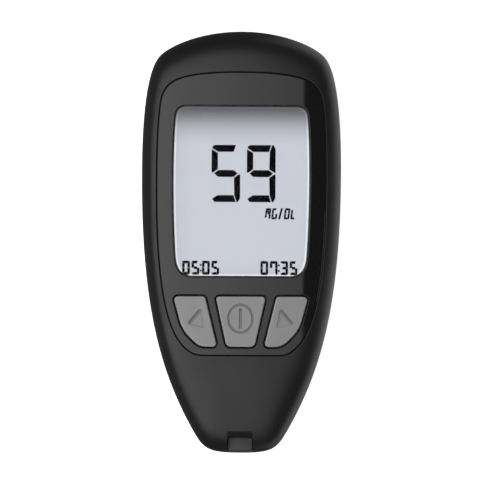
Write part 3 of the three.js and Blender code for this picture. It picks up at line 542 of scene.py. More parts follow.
def normals_of(outline):
    """The outward direction at each point of a counter-clockwise outline."""
    along = np.roll(outline, -1, axis=0) - np.roll(outline, 1, axis=0)
    across = along[:, ::-1] * (1, -1)
    return across / np.hypot(*across.T)[:, None]


def grown(outline, distance):
    """An outline moved outwards by a distance, or inwards by a negative one."""
    return outline + normals_of(outline) * distance


def inside(points, outline):
    """Which points lie inside an outline."""
    x, y = points[:, :1], points[:, 1:]
    x0, y0 = outline.T
    x1, y1 = np.roll(outline, -1, axis=0).T
    crosses = (y0 > y) != (y1 > y)
    slope = (x1 - x0) / np.where(y1 == y0, 1, y1 - y0)
    return (crosses & (x < x0 + slope * (y - y0))).sum(axis=1) % 2 == 1


def nearest(points, outline):
    """How far each point lies from the nearest point of an outline."""
    return np.hypot(*(points[:, None] - outline[None]).transpose(2, 0, 1)).min(axis=1)


def filled(outline, spacing):
    """Triangles over an outline and a staggered grid inside it: the grid's points, and faces over both."""
    low, high = outline.min(axis=0), outline.max(axis=0)
    rows = np.arange(low[1] + spacing / 2, high[1], spacing * math.sqrt(3) / 2)
    across = np.arange(low[0], high[0], spacing)
    grid = [(x + (i % 2) * spacing / 2, y) for i, y in enumerate(rows) for x in across]
    grid = np.array(grid).reshape(-1, 2)
    grid = grid[inside(grid, outline)]
    if len(grid):
        grid = grid[nearest(grid, outline) > spacing * 0.55]
    points = [Vector(p) for p in np.vstack([outline, grid])]
    edges = [(i, (i + 1) % len(outline)) for i in range(len(outline))]
    result = geometry.delaunay_2d_cdt(points, edges, [], 1, 1e-7)
    first = [origins[0] for origins in result[3]]
    return grid, [tuple(first[i] for i in face) for face in result[2]]


def stacked(name, rings, foot=None, top=None, spacing=1.3):
    """A closed solid over rings of [x, y, z], the lowest first. Its ends follow the surfaces foot and top, or
    are flat."""
    count = len(rings[0])
    points = list(np.vstack(rings))
    faces = []
    for low in range(0, (len(rings) - 1) * count, count):
        high = low + count
        faces += [(low + i, low + (i + 1) % count, high + (i + 1) % count, high + i) for i in range(count)]
    for ring, level, start in ((rings[0], foot, 0), (rings[-1], top, (len(rings) - 1) * count)):
        grid, cap = filled(ring[:, :2], spacing if level else 1e3)
        heights = level(grid[:, 0], grid[:, 1]) if level else []
        index = [*range(start, start + count), *range(len(points), len(points) + len(grid))]
        points += [np.array([x, y, z]) for (x, y), z in zip(grid, heights)]
        faces += [tuple(index[i] for i in (face[::-1] if start == 0 else face)) for face in cap]
    return new_piece(name, points, faces)


def ring(outline, level):
    """An outline lifted to a surface, or to a plain level."""
    z = level(outline[:, 0], outline[:, 1]) if callable(level) else np.full(len(outline), float(level))
    return np.column_stack([outline, z])


def prism(name, outline, foot, top):
    """A straight upright solid over an outline, between two levels."""
    return stacked(name, [ring(outline, foot), ring(outline, top)])


def quarter(rounding, steps, widest=90):
    """The steps of a rounded edge, from its side to its top: how far in each lies, and how far below the
    top."""
    angles = np.radians(np.linspace(0, widest, steps))
    return [(rounding * (1 - math.cos(angle)), rounding * (1 - math.sin(angle))) for angle in angles]


def moulded(name, outline, foot, top, rounding, steps=4, spacing=1.3):
    """A solid between two surfaces, with its top edge rounded."""
    rings = [ring(outline, foot)]
    rings += [ring(grown(outline, -inset), below(top, drop)) for inset, drop in quarter(rounding, steps + 1)]
    return stacked(name, rings, foot, top, spacing)


def mouth(name, outline, foot, top, rounding, steps=4, spacing=2.0):
    """A cutting solid for an opening in a surface, which rounds the opening's edge."""
    widest = 76
    proud = 0.03
    edge = quarter(rounding, steps + 1, widest)
    rings = [ring(outline, foot)]
    rings += [ring(grown(outline, spread), below(top, drop)) for spread, drop in edge]
    spread, drop = edge[-1]
    out = grown(outline, spread + (drop + proud) * math.tan(math.radians(widest)))
    rings += [ring(out, below(top, -height)) for height in (proud, overrun)]
    return stacked(name, rings, foot if callable(foot) else None, None, spacing)


def carve(piece, tools, operation="DIFFERENCE"):
    """Cuts tools out of a piece, or joins them to it, and deletes them."""
    for tool in tools:
        modifier = piece.modifiers.new(tool.name, "BOOLEAN")
        modifier.operation = operation
        modifier.solver = "MANIFOLD"
        modifier.object = tool
    freeze(piece)
    for tool in tools:
        bpy.data.objects.remove(tool)


def block(name, x, y, z):
    """A plain cutting block from its ranges in x, y and z."""
    return prism(name, rectangle(x, y), *z)


def surface_normals(level, x, y):
    """Exact normals of a surface that is given as a height over x and y."""
    step = 0.01
    slope_x = (level(x + step, y) - level(x - step, y)) / (2 * step)
    slope_y = (level(x, y + step) - level(x, y - step)) / (2 * step)
    normals = np.column_stack([-slope_x, -slope_y, np.ones(len(x))])
    return normals / np.linalg.norm(normals, axis=1)[:, None]


def read(items, field, width=1, kind=float):
    """One field of a mesh's points, corners or faces."""
    values = np.empty(len(items) * width, kind)
    items.foreach_get(field, values)
    return values.reshape(-1, width) if width > 1 else values


def shade(piece, surfaces=(), sharp=28, looks=None):
    """Smooth shading with sharp edges kept, and exact normals where a piece lies on one of these surfaces.
    Another surface may be named that its normals come from."""
    mesh = piece.data
    mesh.shade_smooth()
    mesh.set_sharp_from_angle(angle=math.radians(sharp))
    normals = read(mesh.corner_normals, "vector", 3)
    corners = read(mesh.loops, "vertex_index", kind=np.int32)
    sides = read(mesh.polygons, "loop_total", kind=np.int32)
    facing = np.repeat(read(mesh.polygon_normals, "vector", 3), sides, axis=0)
    x, y, z = (read(mesh.vertices, "co", 3)[corners] / MM).T
    for level, upwards in surfaces:
        exact = surface_normals(looks or level, x, y) * upwards
        near = abs(z - level(x, y)) < surface_nearness
        agrees = (exact * facing).sum(axis=1) > surface_agreement
        on = near & agrees & (abs(exact[:, 2]) > steepest_rise)
        normals[on] = exact[on]
    mesh.normals_split_custom_set(normals.tolist())


def fit(piece, material, body, slot, *nodes):
    """Gives a finished piece its material and its body, and hides the CAD nodes that it takes the place of.
    The slot is not used.
    """
    piece.data.materials.clear()
    piece.data.materials.append(material)
    for face in piece.data.polygons:
        face.material_index = 0
    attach(piece, body)
    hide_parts(*nodes)


fascia_outline = outline_of(fascia_outline_shares, 320, fascia_half, fascia_foot, fascia_top)
window_outline = outline_of(window_outline_shares, 220, window_half, window_foot, window_top)
recess_outline = grown(fascia_outline, fascia_gap)
ledge_outline = grown(fascia_outline, ledge_overhang)
ledge = moulded("ledge", ledge_outline, lowered(ledge_depth), lowered(ledge_top_depth), ledge_rounding, 1, 3)
recess = mouth("recess", recess_outline, lowered(fascia_depth), front_level, shell_rounding)
window_hole = prism("window_hole", window_outline, front_base, clear_top)


def key_points(shares, side=1):
    """Shares of the fascia's half width and of the key height, made places."""
    return np.array([[side * x * fascia_half, key_row_top - y * key_height] for x, y in shares])


def rounded(corners, radii, steps=8):
    """A polygon with an arc at each corner, counter-clockwise."""
    points = []
    for i, corner in enumerate(corners):
        before = corners[i - 1] - corner
        after = corners[(i + 1) % len(corners)] - corner
        before = before / np.hypot(*before)
        after = after / np.hypot(*after)
        half_angle = math.acos(np.clip(before @ after, -1, 1)) / 2
        to_middle = before + after
        middle = corner + to_middle / np.hypot(*to_middle) * radii[i] / math.sin(half_angle)
        start = corner + before * radii[i] / math.tan(half_angle) - middle
        end = corner + after * radii[i] / math.tan(half_angle) - middle
        turn = math.atan2(start[0] * end[1] - start[1] * end[0], start @ end)
        for angle in np.linspace(0, turn, steps + 1):
            c, s = math.cos(angle), math.sin(angle)
            points.append(middle + (c * start[0] - s * start[1], s * start[0] + c * start[1]))
    points = np.array(points)
    x, y = points.T
    area = (x * np.roll(y, -1) - y * np.roll(x, -1)).sum()
    return points if area > 0 else points[::-1]


key_corners = {
    "left": (key_points(side_key_corner_shares, -1), side_key_radii),
    "power": (key_points(middle_key_corner_shares), middle_key_radii),
    "right": (key_points(side_key_corner_shares), side_key_radii),
}
key_outlines = {name: evenly(rounded(*form), 180) for name, form in key_corners.items()}
key_holes = [
    prism("key_hole", grown(outline, key_hole_gap), front_base, clear_top)
    for outline in key_outlines.values()
]
screw_nodes = ["case_screw_" + place for place in ("top_left", "top_right", "nose_left", "nose_right")]
screw_boxes = [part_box(node) for node in screw_nodes]
screw_places = [((low.x + high.x) / 2 / MM, (low.y + high.y) / 2 / MM) for low, high in screw_boxes]
bosses, pilots = [], []
for place in screw_places:
    boss = oval(boss_radius, boss_radius, place)
    boss_rings = [ring(boss, front_base + seat_gap), ring(boss, lowered(wall / 2))]
    bosses.append(stacked("boss", boss_rings, None, lowered(wall / 2)))
    pilots.append(prism("pilot", oval(pilot_radius, pilot_radius, place, 32), -overrun, pilot_top))
lip_rebate = prism("lip_rebate", drawn_in(rebate_inset), 0, rebate_top)
carve(front_shell, [front_hollow])
carve(front_shell, [ledge, *bosses], "UNION")

notch_nose = -half_length - overrun
notch_top = front_level(0.0, notch_top_y)
brow_slope = (notch_top_y - notch_roof_y) / (notch_top - notch_roof)


def notch_ring(z, spread):
    """The notch's outline at one level: its back wall, the brow, leans away from the slot."""
    back = notch_roof_y + brow_slope * max(z - notch_roof, 0) + spread
    side = slot_half + spread
    turn = np.linspace(0, math.pi / 2, 6)
    arc_points = notch_corner * np.column_stack([np.cos(turn), np.sin(turn)])
    right = arc_points + (side - notch_corner, back - notch_corner)
    left = (right * (-1, 1))[::-1]
    outline = np.vstack([[[-side, notch_nose], [side, notch_nose]], right, left])
    return ring(outline, z)


notch_rings = [notch_ring(notch_floor, 0), notch_ring(notch_roof, 0)]
notch_rings += [notch_ring(notch_top - drop, spread) for spread, drop in quarter(notch_rounding, 5, 70)]
notch_rings.append(notch_ring(notch_top + overrun, 4 * notch_rounding))
notch = stacked("notch", notch_rings)
slot = block("slot", span(slot_half), (notch_nose, port_front_y), (notch_floor, notch_roof))
carve(front_shell, [recess, window_hole, *key_holes, *pilots, lip_rebate, notch, slot])


def effect_group(name, inputs, outputs):
    """A shader group with named inputs, given with their usual values, and named outputs."""
    tree, given = new_tree(name, {key: "Float" for key in inputs}, "ShaderNodeTree")
    for item in tree.interface.items_tree:
        item.default_value = inputs[item.name]
    for output, output_type in outputs.items():
        tree.interface.new_socket(output, in_out="OUTPUT", socket_type="NodeSocket" + output_type)
    return tree, given, tree.nodes.new("NodeGroupOutput").inputs


def cells(tree, scale, randomness=1.0, **settings):
    """How far the middle of the nearest cell is, for so many cells in a metre."""
    values = {"Vector": own_place(tree), "Scale": scale, "Randomness": randomness}
    return add_node(tree, "ShaderNodeTexVoronoi", values, **settings).outputs["Distance"]


def moulded_grain_group():
    """The fine grain that a textured mould leaves: small rounded pits of two sizes."""
    inputs = {"Grains per metre": 4500.0, "Unevenness": 0.35}
    tree, given, out = effect_group("moulded_grain", inputs, {"Height": "Float"})
    pits = cells(tree, given["Grains per metre"], feature="SMOOTH_F1")
    mix = {"Factor": given["Unevenness"], "A": pits, "B": noise(tree, given["Grains per metre"], 1.0)}
    tree.links.new(add_node(tree, "ShaderNodeMix", mix).outputs["Result"], out["Height"])
    return tree


def handling_marks_group():
    """Where fingers have rubbed and dust has settled: broad soft patches with fine specks in them."""
    inputs = {"Patches per metre": 70.0, "Specks per metre": 1800.0}
    tree, given, out = effect_group("handling_marks", inputs, {"Rubbed": "Float", "Specks": "Float"})
    patches = noise(tree, given["Patches per metre"], 5.0)
    specks = cells(tree, given["Specks per metre"])
    tree.links.new(risen(tree, patches, 0.35, 0.7), out["Rubbed"])
    tree.links.new(risen(tree, specks, 0.12, 0.06), out["Specks"])
    return tree


moulded_grain = moulded_grain_group()
handling_marks = handling_marks_group()


def use_group(tree, group, **values):
    """A shader group placed in a material, with its own values."""
    node = add_node(tree, "ShaderNodeGroup", node_tree=group)
    for key, value in values.items():
        node.inputs[key.replace("_", " ")].default_value = value
    return node.outputs


def tint(tree, factor, low, high):
    """A colour that runs from low to high with a factor. Low and high may be colours or outputs."""
    values = {0: factor}
    for place, colour in ((6, low), (7, high)):
        values[place] = colour if isinstance(colour, bpy.types.NodeSocket) else (*colour, 1)
    return add_node(tree, "ShaderNodeMix", values, data_type="RGBA").outputs[2]


def press(tree, shader, height, strength, distance):
    """Lets a height shape the surface a little."""
    bump = add_node(tree, "ShaderNodeBump", {"Height": height, "Strength": strength, "Distance": distance})
    feed(shader, Normal=bump.outputs["Normal"])


def plastic(name, dark, pale, smooth, rough, grain=4500.0, depth=0.25, patches=70.0):
    """Moulded plastic: a mottled colour, a grain and the marks of handling, which polish it a little."""
    material, tree, shader = new_material(name, dark, rough)
    marks = use_group(tree, handling_marks, Patches_per_metre=patches)
    height = use_group(tree, moulded_grain, Grains_per_metre=grain)["Height"]
    feed(
        shader, Base_Color=tint(tree, marks["Rubbed"], dark, pale),
        Roughness=between(tree, marks["Rubbed"], rough, smooth),
    )
    press(tree, shader, height, depth, 0.02 * MM)
    return material


satin_black = plastic("satin_black", (0.0085, 0.0085, 0.0088), (0.011, 0.011, 0.0112), 0.36, 0.44)
shade(front_shell, [(front_level, 1)])
fit(front_shell, satin_black, "case", "case", "front_shell")

# Fascia: a thin plate of polished black plastic that is pressed into the front shell's recess. It is pierced
# for the display window and the three keys, and its edges are left softly rounded by the mould.
fascia_thickness = 1.2
fascia_rounding = 0.28
window_rounding = 0.2
through_depth = 4

fascia_back = lowered(fascia_thickness)
fascia = moulded("fascia_plate", fascia_outline, fascia_back, front_level, fascia_rounding, 5, 0.9)
pierced = {"window": window_outline}
pierced.update((name, grown(outline, key_gap)) for name, outline in key_outlines.items())
openings = [
    mouth(name + "_mouth", outline, lowered(through_depth), front_level, window_rounding)
    for name, outline in pierced.items()
]
carve(fascia, openings)


def polished_black():
    """Polished plastic, nearly smooth, with fine dust on it."""
    black = (0.006, 0.006, 0.0062)
    material, tree, shader = new_material("polished_black", black, 0.06, Specular_IOR_Level=0.55)
    marks = use_group(tree, handling_marks, Patches_per_metre=90.0, Specks_per_metre=900.0)
    colour = tint(tree, marks["Specks"], black, (0.03, 0.03, 0.03))
    feed(shader, Base_Color=colour, Roughness=between(tree, marks["Rubbed"], 0.035, 0.055))
    return material


def crown_level(x, y):
    """The front's gentle crown without its rounded shoulders."""
    return front_base + crown_height(x, y)


shade(fascia, [(front_level, 1)], looks=crown_level)
fit(fascia, polished_black(), "case", "fascia", "fascia")

# Keys: three silicone rubber keys, moulded in one with their mat and standing half a millimetre through the
# fascia. Each has a soft edge and a symbol pressed into its top: two arrows, and a power ring.
key_proud = 0.5
key_rounding = 0.45
symbol_depth = 0.2
symbol_slope = 0.17
symbol_centre_share = 0.438
power_ring_radii = (2.85, 3.28)
power_ring_stroke = 0.6
power_bar_stroke = 0.8
power_bar_length = 4.9
power_bar_corner = 0.3
arrow_shares = [[0.615, 0.53], [0.475, 0.252], [0.437, 0.605]]
arrow_radius = 0.2
arrow_spread = 0.27
key_step_height = 1.65
key_step_inset = 1
key_step_lift = 0.15
stem_least_radius = 0.25


key_top = lowered(-key_proud)
key_floor = below(key_top, symbol_depth)


def sunk(name, outline):
    """A cutting solid for a symbol, whose edges slope."""
    return mouth(name, grown(outline, -symbol_slope / 2), key_floor, key_top, symbol_slope, 3, 0.25)


arrow_outlines = {
    name: grown(evenly(rounded(key_points(arrow_shares, side), [arrow_radius] * 3), 90), arrow_spread)
    for name, side in (("left", -1), ("right", 1))
}
symbol_middle = key_row_top - symbol_centre_share * key_height
ring_radii = np.array(power_ring_radii)


def power_tools():
    """Cutting solids for the power symbol: a ring, and a bar through its top."""
    half = power_ring_stroke / 2
    ring_tool = sunk("ring", oval(*(ring_radii + half), (0, symbol_middle), 160))
    core_outline = oval(*(ring_radii - half), (0, symbol_middle), 160)
    core_rings = [ring(core_outline, below(key_floor, 1))]
    for inset, drop in quarter(symbol_slope, 4):
        core_rings.append(ring(grown(core_outline, symbol_slope / 2 - inset), below(key_top, drop)))
    core_rings.append(ring(grown(core_outline, -symbol_slope / 2 - 0.01), below(key_top, -3)))
    carve(ring_tool, [stacked("core", core_rings)])
    bar_ends = (symbol_middle - power_bar_length / 2, symbol_middle + power_bar_length / 2)
    bar_corners = rectangle(span(power_bar_stroke / 2), bar_ends)
    return [ring_tool, sunk("bar", evenly(rounded(bar_corners, [power_bar_corner] * 4), 100))]


def off_line(points, start, end):
    """How far points lie from a line between two others."""
    along = (end - start) / np.hypot(*(end - start))
    share = np.clip((points - start) @ along, 0, np.hypot(*(end - start)))
    return np.hypot(*(points - start - share[:, None] * along).T)


def key_painted_light(name, points, depth):
    """How pale a key's rubber is painted over each point: a painted highlight along its edge, stronger on its
    right side, and painted shade with dust in its symbol, darkest along an arrow's outer leg and the power
    bar's top."""
    sunken = np.clip(depth / (symbol_depth * 0.9), 0, 1)
    edge = nearest(points, key_outlines[name])
    away = np.sign(points[:, 0] - key_outlines[name][:, 0].mean())
    # Painted highlight along the key's edge, stronger on its right side.
    painted_rim_highlight = 1 + (0.4 + 0.12 * away) * np.clip(1.15 - edge / 0.42, 0, 1)
    # Painted shade with dust in the symbol.
    if name == "power":
        reach = np.hypot(*((points - (0, symbol_middle)) / ring_radii).T)
        top = np.clip((points[:, 1] - symbol_middle) / power_bar_length * 8 - 2.6, 0, 1)
        symbol_shade_and_dust = np.where(reach > 0.85, 0.58, 0.63 - 0.3 * top)
    else:
        outer, tip, inner = key_points(arrow_shares, 1 if name == "right" else -1)
        near_outer = np.clip(1.6 - off_line(points, outer, tip) / 0.45, 0, 1)
        near_inner = np.clip(1.3 - off_line(points, tip, inner) / 0.5, 0, 1)
        symbol_shade_and_dust = 0.96 - 0.46 * near_outer - 0.1 * near_inner * (1 - near_outer)
    return np.where(edge < 0.8, painted_rim_highlight, 1 + (symbol_shade_and_dust - 1) * sunken)


def silicone(name, dark, pale, with_painted_light=False):
    """Silicone rubber: matt and even, with a bloom that comes and goes. A key's stored painted light may
    scale its colour.
    """
    material, tree, shader = new_material(name, dark, 0.6)
    marks = use_group(tree, handling_marks, Patches_per_metre=160.0)
    colour = tint(tree, marks["Rubbed"], dark, pale)
    if with_painted_light:
        painted_light = add_node(tree, "ShaderNodeAttribute", attribute_name="painted_light").outputs["Fac"]
        shaded = {0: colour, "Scale": painted_light}
        colour = add_node(tree, "ShaderNodeVectorMath", shaded, operation="SCALE").outputs["Vector"]
    feed(shader, Base_Color=colour, Roughness=between(tree, marks["Rubbed"], 0.62, 0.5))
    press(tree, shader, use_group(tree, moulded_grain, Grains_per_metre=6000.0)["Height"], 0.2, 0.015 * MM)
    return material


def flat(level):
    """A level surface."""
    return lambda x, y: np.full(len(x), float(level))


grey_silicone = silicone("grey_silicone", (0.32, 0.32, 0.32), (0.335, 0.335, 0.335), with_painted_light=True)
key_tools = {name: [sunk("arrow", outline)] for name, outline in arrow_outlines.items()}
key_tools["power"] = power_tools()


def mitred(corners, inset):
    """A polygon's corners, drawn in along their mitres."""
    x, y = corners.T
    turn = np.sign((x * np.roll(y, -1) - y * np.roll(x, -1)).sum())
    sides = np.roll(corners, -1, axis=0) - corners
    outwards = sides[:, ::-1] * (turn, -turn) / np.hypot(*sides.T)[:, None]
    both = outwards + np.roll(outwards, 1, axis=0)
    return corners - inset * 2 * both / (both ** 2).sum(axis=1)[:, None]


stem_outlines = {}
for name, (corners, radii) in key_corners.items():
    stem_radii = [max(radius - key_step_inset, stem_least_radius) for radius in radii]
    stem_corners = mitred(corners, key_step_inset) - (0, key_step_lift)
    stem_outlines[name] = evenly(rounded(stem_corners, stem_radii), 180)
for name, outline in key_outlines.items():
    node = name + "_key"
    key_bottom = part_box(node)[0].z / MM
    step = key_bottom + key_step_height
    key = moulded(node + "_moulding", outline, flat(step), key_top, key_rounding, 6, 0.5)
    stem = prism(node + "_stem", stem_outlines[name], key_bottom, step + 0.2)
    carve(key, [stem], "UNION")
    carve(key, key_tools[name])
    x, y, z = (read(key.data.vertices, "co", 3) / MM).T
    # Painted highlights on each key's edge and painted shade with dust in its symbols, stored on its points.
    painted_light_levels = key_painted_light(name, np.column_stack([x, y]), key_top(x, y) - z)
    key.data.attributes.new("painted_light", "FLOAT", "POINT").data.foreach_set("value", painted_light_levels)
    shade(key, [(key_top, 1), (key_floor, 1)], 34)
    fit(key, grey_silicone, node, "keys", node)

# Keypad mat: the sheet that the three keys are moulded on, of the same silicone. It lies on the board, and a
# thin skirt joins it to each key and buckles as the key goes down.
mat_inset = 0.6
mat_edge_rounding = 0.15
skirt_reach = 0.9
mat_low, mat_high = (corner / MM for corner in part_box("keypad_mat"))
mat_outline = grown(fascia_outline, -mat_inset)
mat_outline = mat_outline[mat_outline[:, 1] < mat_high.y]
mat_below, mat_face = flat(mat_low.z - 1), flat(mat_high.z)
mat = moulded("keypad_sheet", mat_outline, flat(mat_low.z), mat_face, mat_edge_rounding, 4, 3)
mat_holes = [
    mouth(name + "_skirt_hole", grown(outline, skirt_reach + 0.02), mat_below, mat_face, mat_edge_rounding)
    for name, outline in stem_outlines.items()
]
carve(mat, mat_holes)
shade(mat)
grey_mat = silicone("mat_silicone", (0.26, 0.26, 0.26), (0.3, 0.3, 0.3))
fit(mat, grey_mat, "case", "keys", "keypad_mat")
carbon_rubber = silicone("carbon_rubber", (0.012, 0.012, 0.012), (0.02, 0.02, 0.02))


def dress(node, material):
    """Gives a CAD node a better material."""
    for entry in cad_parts[node].material_slots:
        entry.material = material


for name in key_outlines:
    dress(name + "_key_skirt", grey_mat)
    dress(name + "_key_pill", carbon_rubber)

# Display lens: a clear acrylic plug that fills the fascia's window, with a flange behind that keeps it in.
# Its edge is polished round.
lens_gap = 0.15
lens_sink = 0.1
lens_rounding = 0.3
lens_flange_width = 1.2
lens_flange_depth = 0.7
lens_outline = grown(window_outline, -lens_gap)
flange_outline = grown(window_outline, lens_flange_width)
flange_face, lens_face = lowered(lens_flange_depth), lowered(lens_sink)
lens_rings = [ring(flange_outline, fascia_back), ring(flange_outline, flange_face)]
lens_rings.append(ring(lens_outline, flange_face))
for inset, drop in quarter(lens_rounding, 6):
    lens_rings.append(ring(grown(lens_outline, -inset), below(lens_face, drop)))
lens = stacked("display_lens_moulding", lens_rings, fascia_back, lens_face, 1.0)


def clear_acrylic(name, roughness, ior):
    """Clear plastic, faintly scuffed."""
    material, tree, shader = new_material(
        name, (1, 1, 1), roughness, Transmission_Weight=1.0, IOR=ior, Specular_IOR_Level=0.3
    )
    marks = use_group(tree, handling_marks, Patches_per_metre=120.0)
    feed(shader, Roughness=between(tree, marks["Rubbed"], roughness, roughness + 0.03))
    return material


shade(lens, [(lens_face, 1), (fascia_back, -1)])
fit(lens, clear_acrylic("clear_acrylic", 0.01, 1.1), "case", "lens", "display_lens")

# Display: a liquid crystal cell of two glass sheets in a white clip frame over its light guide, sealed to the
# shell by black foam. Dark segments show the reading and two times, and a white print edges the sheet under
# the window. The sheet and the print glow with painted light, and a painted shadow darkens them under the
# window's top edge.
glass_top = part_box("display_front_glass")[1].z / MM
print_thickness = 0.02
border_width = 0.36
mask_reach = 0.9
mask_insets = (0.36, 0.36)
mask_depths = (0.03, 0.01)
colon_dot_share = 0.42
reading_width = 6.77
reading_height = 13.5
reading_stroke = 1.48
reading_segment_form = (0.27, 0.55)
reading_foot = 9.5
reading_places = [(-7.07, "5"), (1.28, "9")]
time_width = 1.83
time_height = 3.3
time_stroke = 0.58
small_segment_form = (0.03, 0.12)
time_foot = -7.72
time_pitch = 2.23
time_pair_pitch = 4.69
times = [(-13.9, "05", "05"), (4.6, "07", "35")]
unit_places = [(5.5, "M"), (7.05, "G"), (10.0, "D"), (11.55, "L")]
unit_width = 1.32
unit_height = 2.65
unit_stroke = 0.46
unit_slant = 0.12
unit_foot = 5.45
slash_place = (8.7, 9.85)
lit_segments = {
    "0": "abcdef", "3": "abcdg", "5": "acdfg", "7": "abcf", "9": "abcdfg",
    "M": "abcef", "G": "acdef", "D": "abcdef", "L": "def",
}
shadow_top_y = 32.05
shadow_foot_y = 23.0
painted_shadow_levels = [
    (0, 0.15), (1, 1), (0.093, 0.23), (0.233, 0.36), (0.337, 0.49), (0.477, 0.655), (0.616, 0.785),
    (0.779, 0.895),
]


def flat_plates(name, outlines, foot, thickness=print_thickness):
    """Thin plates over flat outlines, each marked with its place in the list."""
    points, faces, marks = [], [], []
    for number, outline in enumerate(outlines):
        start, count = len(points), len(outline)
        points += [(x, y, z) for z in (foot, foot + thickness) for x, y in outline]
        faces.append(tuple(range(start + count - 1, start - 1, -1)))
        faces.append(tuple(range(start + count, start + 2 * count)))
        for i in range(count):
            j = (i + 1) % count
            faces.append((start + i, start + j, start + count + j, start + count + i))
        marks += [number] * (2 * count)
    piece = new_piece(name, points, faces)
    piece.data.attributes.new("segment", "INT", "POINT").data.foreach_set("value", marks)
    return piece


def digit_segments(w, h, t, gap, notch):
    """The seven segments of a digit, a to g, with mitred ends and rounded outer corners. Bars are a little
    bolder than uprights, and the notch is how far the middle bar reaches into them."""
    m, u, g, n = h / 2, 1.1 * t, 0.36 * gap, 0.8 * gap
    v, tip = notch * t, t * (1 - 1.36 * notch)
    return [
        [(g, h - 0.45 * u), (0.12 * t + g, h - 0.2 * u), (0.5 * t, h), (w - 0.62 * t - g, h),
         (w - t - g, h - u), (t, h - u)],
        [(w - 0.62 * t + g, h), (w - 0.35 * t, h), (w, h - 0.6 * u), (w, m + n), (w - tip, m + n),
         (w - t, m + n + v), (w - t + g, h - u)],
        [(w, m - n), (w, 0.6 * u), (w - 0.35 * t, 0), (w - 0.62 * t + g, 0), (w - t + g, u),
         (w - t, m - n - v), (w - tip, m - n)],
        [(g, 0.45 * u), (t, u), (w - t - g, u), (w - 0.62 * t - g, 0), (0.5 * t, 0)],
        [(0, 0.45 * u + gap), (t, u + gap), (t, m - n - v), (tip, m - n), (0, m - n)],
        [(0, m + n), (tip, m + n), (t, m + n + v), (t, h - u - gap), (0, h - 0.45 * u - gap)],
        [(tip + n, m), (t + g, m + 0.5 * u), (w - t - g, m + 0.5 * u), (w - tip - n, m),
         (w - t - g, m - 0.5 * u), (t + g, m - 0.5 * u)],
    ]


def copied_to(tree, points, part):
    """A copy of an object at each point."""
    shape = add_node(tree, "GeometryNodeObjectInfo", {"Object": part}).outputs["Geometry"]
    return add_node(tree, "GeometryNodeInstanceOnPoints", {"Points": points, "Instance": shape}).outputs[0]


def lit_digits_tree():
    """Sets a digit at each point, and keeps the segments whose bit is set in the point's lit value."""
    tree, given = new_tree("lit_digits", {"Places": "Geometry", "Digit": "Object", "Material": "Material"})
    digits = copied_to(tree, given["Places"], given["Digit"])
    plain = add_node(tree, "GeometryNodeRealizeInstances", {"Geometry": digits}).outputs[0]
    lit, segment = stored(tree, "lit", "INT"), stored(tree, "segment", "INT")
    bit = (lit / (segment * 0.0 + 2.0) ** segment).step("FLOOR").step("MODULO", 2.0)
    dark = bit.step("LESS_THAN", 0.5).socket
    kept = add_node(tree, "GeometryNodeDeleteGeometry", {"Geometry": plain, "Selection": dark})
    return end_tree(tree, kept.outputs[0], given["Material"])


lit_digits = lit_digits_tree()


def dark_crystal():
    """The black of lit segments, which has no gleam."""
    material, tree, shader = new_material("dark_crystal", (0.002, 0.002, 0.003), 0.6, Specular_IOR_Level=0.02)
    colour = tint(tree, noise(tree, 900), (0.0015, 0.0015, 0.003), (0.004, 0.004, 0.007))
    feed(shader, Base_Color=colour)
    return material


segment_black = dark_crystal()
border_foot = glass_top + 0.002
ink_foot = border_foot + print_thickness + 0.002


def digit_row(name, places, width, height, stroke, segment_form, foot, slant=0.0):
    """Digits in a row, each given as its left edge and its character. They may lean to the right."""
    digit = flat_plates(name + "_digit", digit_segments(width, height, stroke, *segment_form), 0)
    row = new_piece(name, [(x, foot, ink_foot) for x, _ in places], [])
    masks = [sum(2 ** "abcdefg".index(s) for s in lit_segments[character]) for _, character in places]
    row.data.attributes.new("lit", "INT", "POINT").data.foreach_set("value", masks)
    grow(row, lit_digits, Digit=digit, Material=segment_black)
    bpy.data.objects.remove(digit)
    row.data.transform(leaning(slant, foot))
    fit(row, segment_black, "case", "display")


def leaning(slant, foot):
    """Leans what stands on a line to the right."""
    return Matrix(((1, slant, 0, -slant * foot * MM), (0, 1, 0, 0), (0, 0, 1, 0), (0, 0, 0, 1)))


time_places = []
dots = []
for left, hours, minutes in times:
    starts = [left, left + time_pitch, left + time_pair_pitch, left + time_pair_pitch + time_pitch]
    time_places += list(zip(starts, hours + minutes))
    colon = left + (time_pair_pitch + time_pitch + time_width) / 2
    dot = time_stroke * colon_dot_share
    for y in (time_foot + 0.3 * time_height, time_foot + 0.7 * time_height):
        dots.append(oval(dot, dot, (colon, y), 16))
slash_low, slash_high = slash_place
unit_top = unit_foot + unit_height
dots.append([
    (slash_low, unit_foot), (slash_low + unit_stroke, unit_foot), (slash_high, unit_top),
    (slash_high - unit_stroke, unit_top),
])
middle_stroke = unit_places[0][0] + unit_width / 2 + unit_slant * unit_height * 0.7
stroke_sides = (middle_stroke - unit_stroke * 0.4, middle_stroke + unit_stroke * 0.4)
dots.append(rectangle(stroke_sides, (unit_foot + unit_height * 0.45, unit_top - unit_stroke)))
digit_row(
    "reading_digits", reading_places, reading_width, reading_height, reading_stroke, reading_segment_form,
    reading_foot,
)
digit_row("time_digits", time_places, time_width, time_height, time_stroke, small_segment_form, time_foot)
digit_row(
    "unit_letters", unit_places, unit_width, unit_height, unit_stroke, small_segment_form, unit_foot,
    unit_slant,
)
points_and_slash = flat_plates("points_and_slash", dots, ink_foot)
fit(points_and_slash, segment_black, "case", "display")

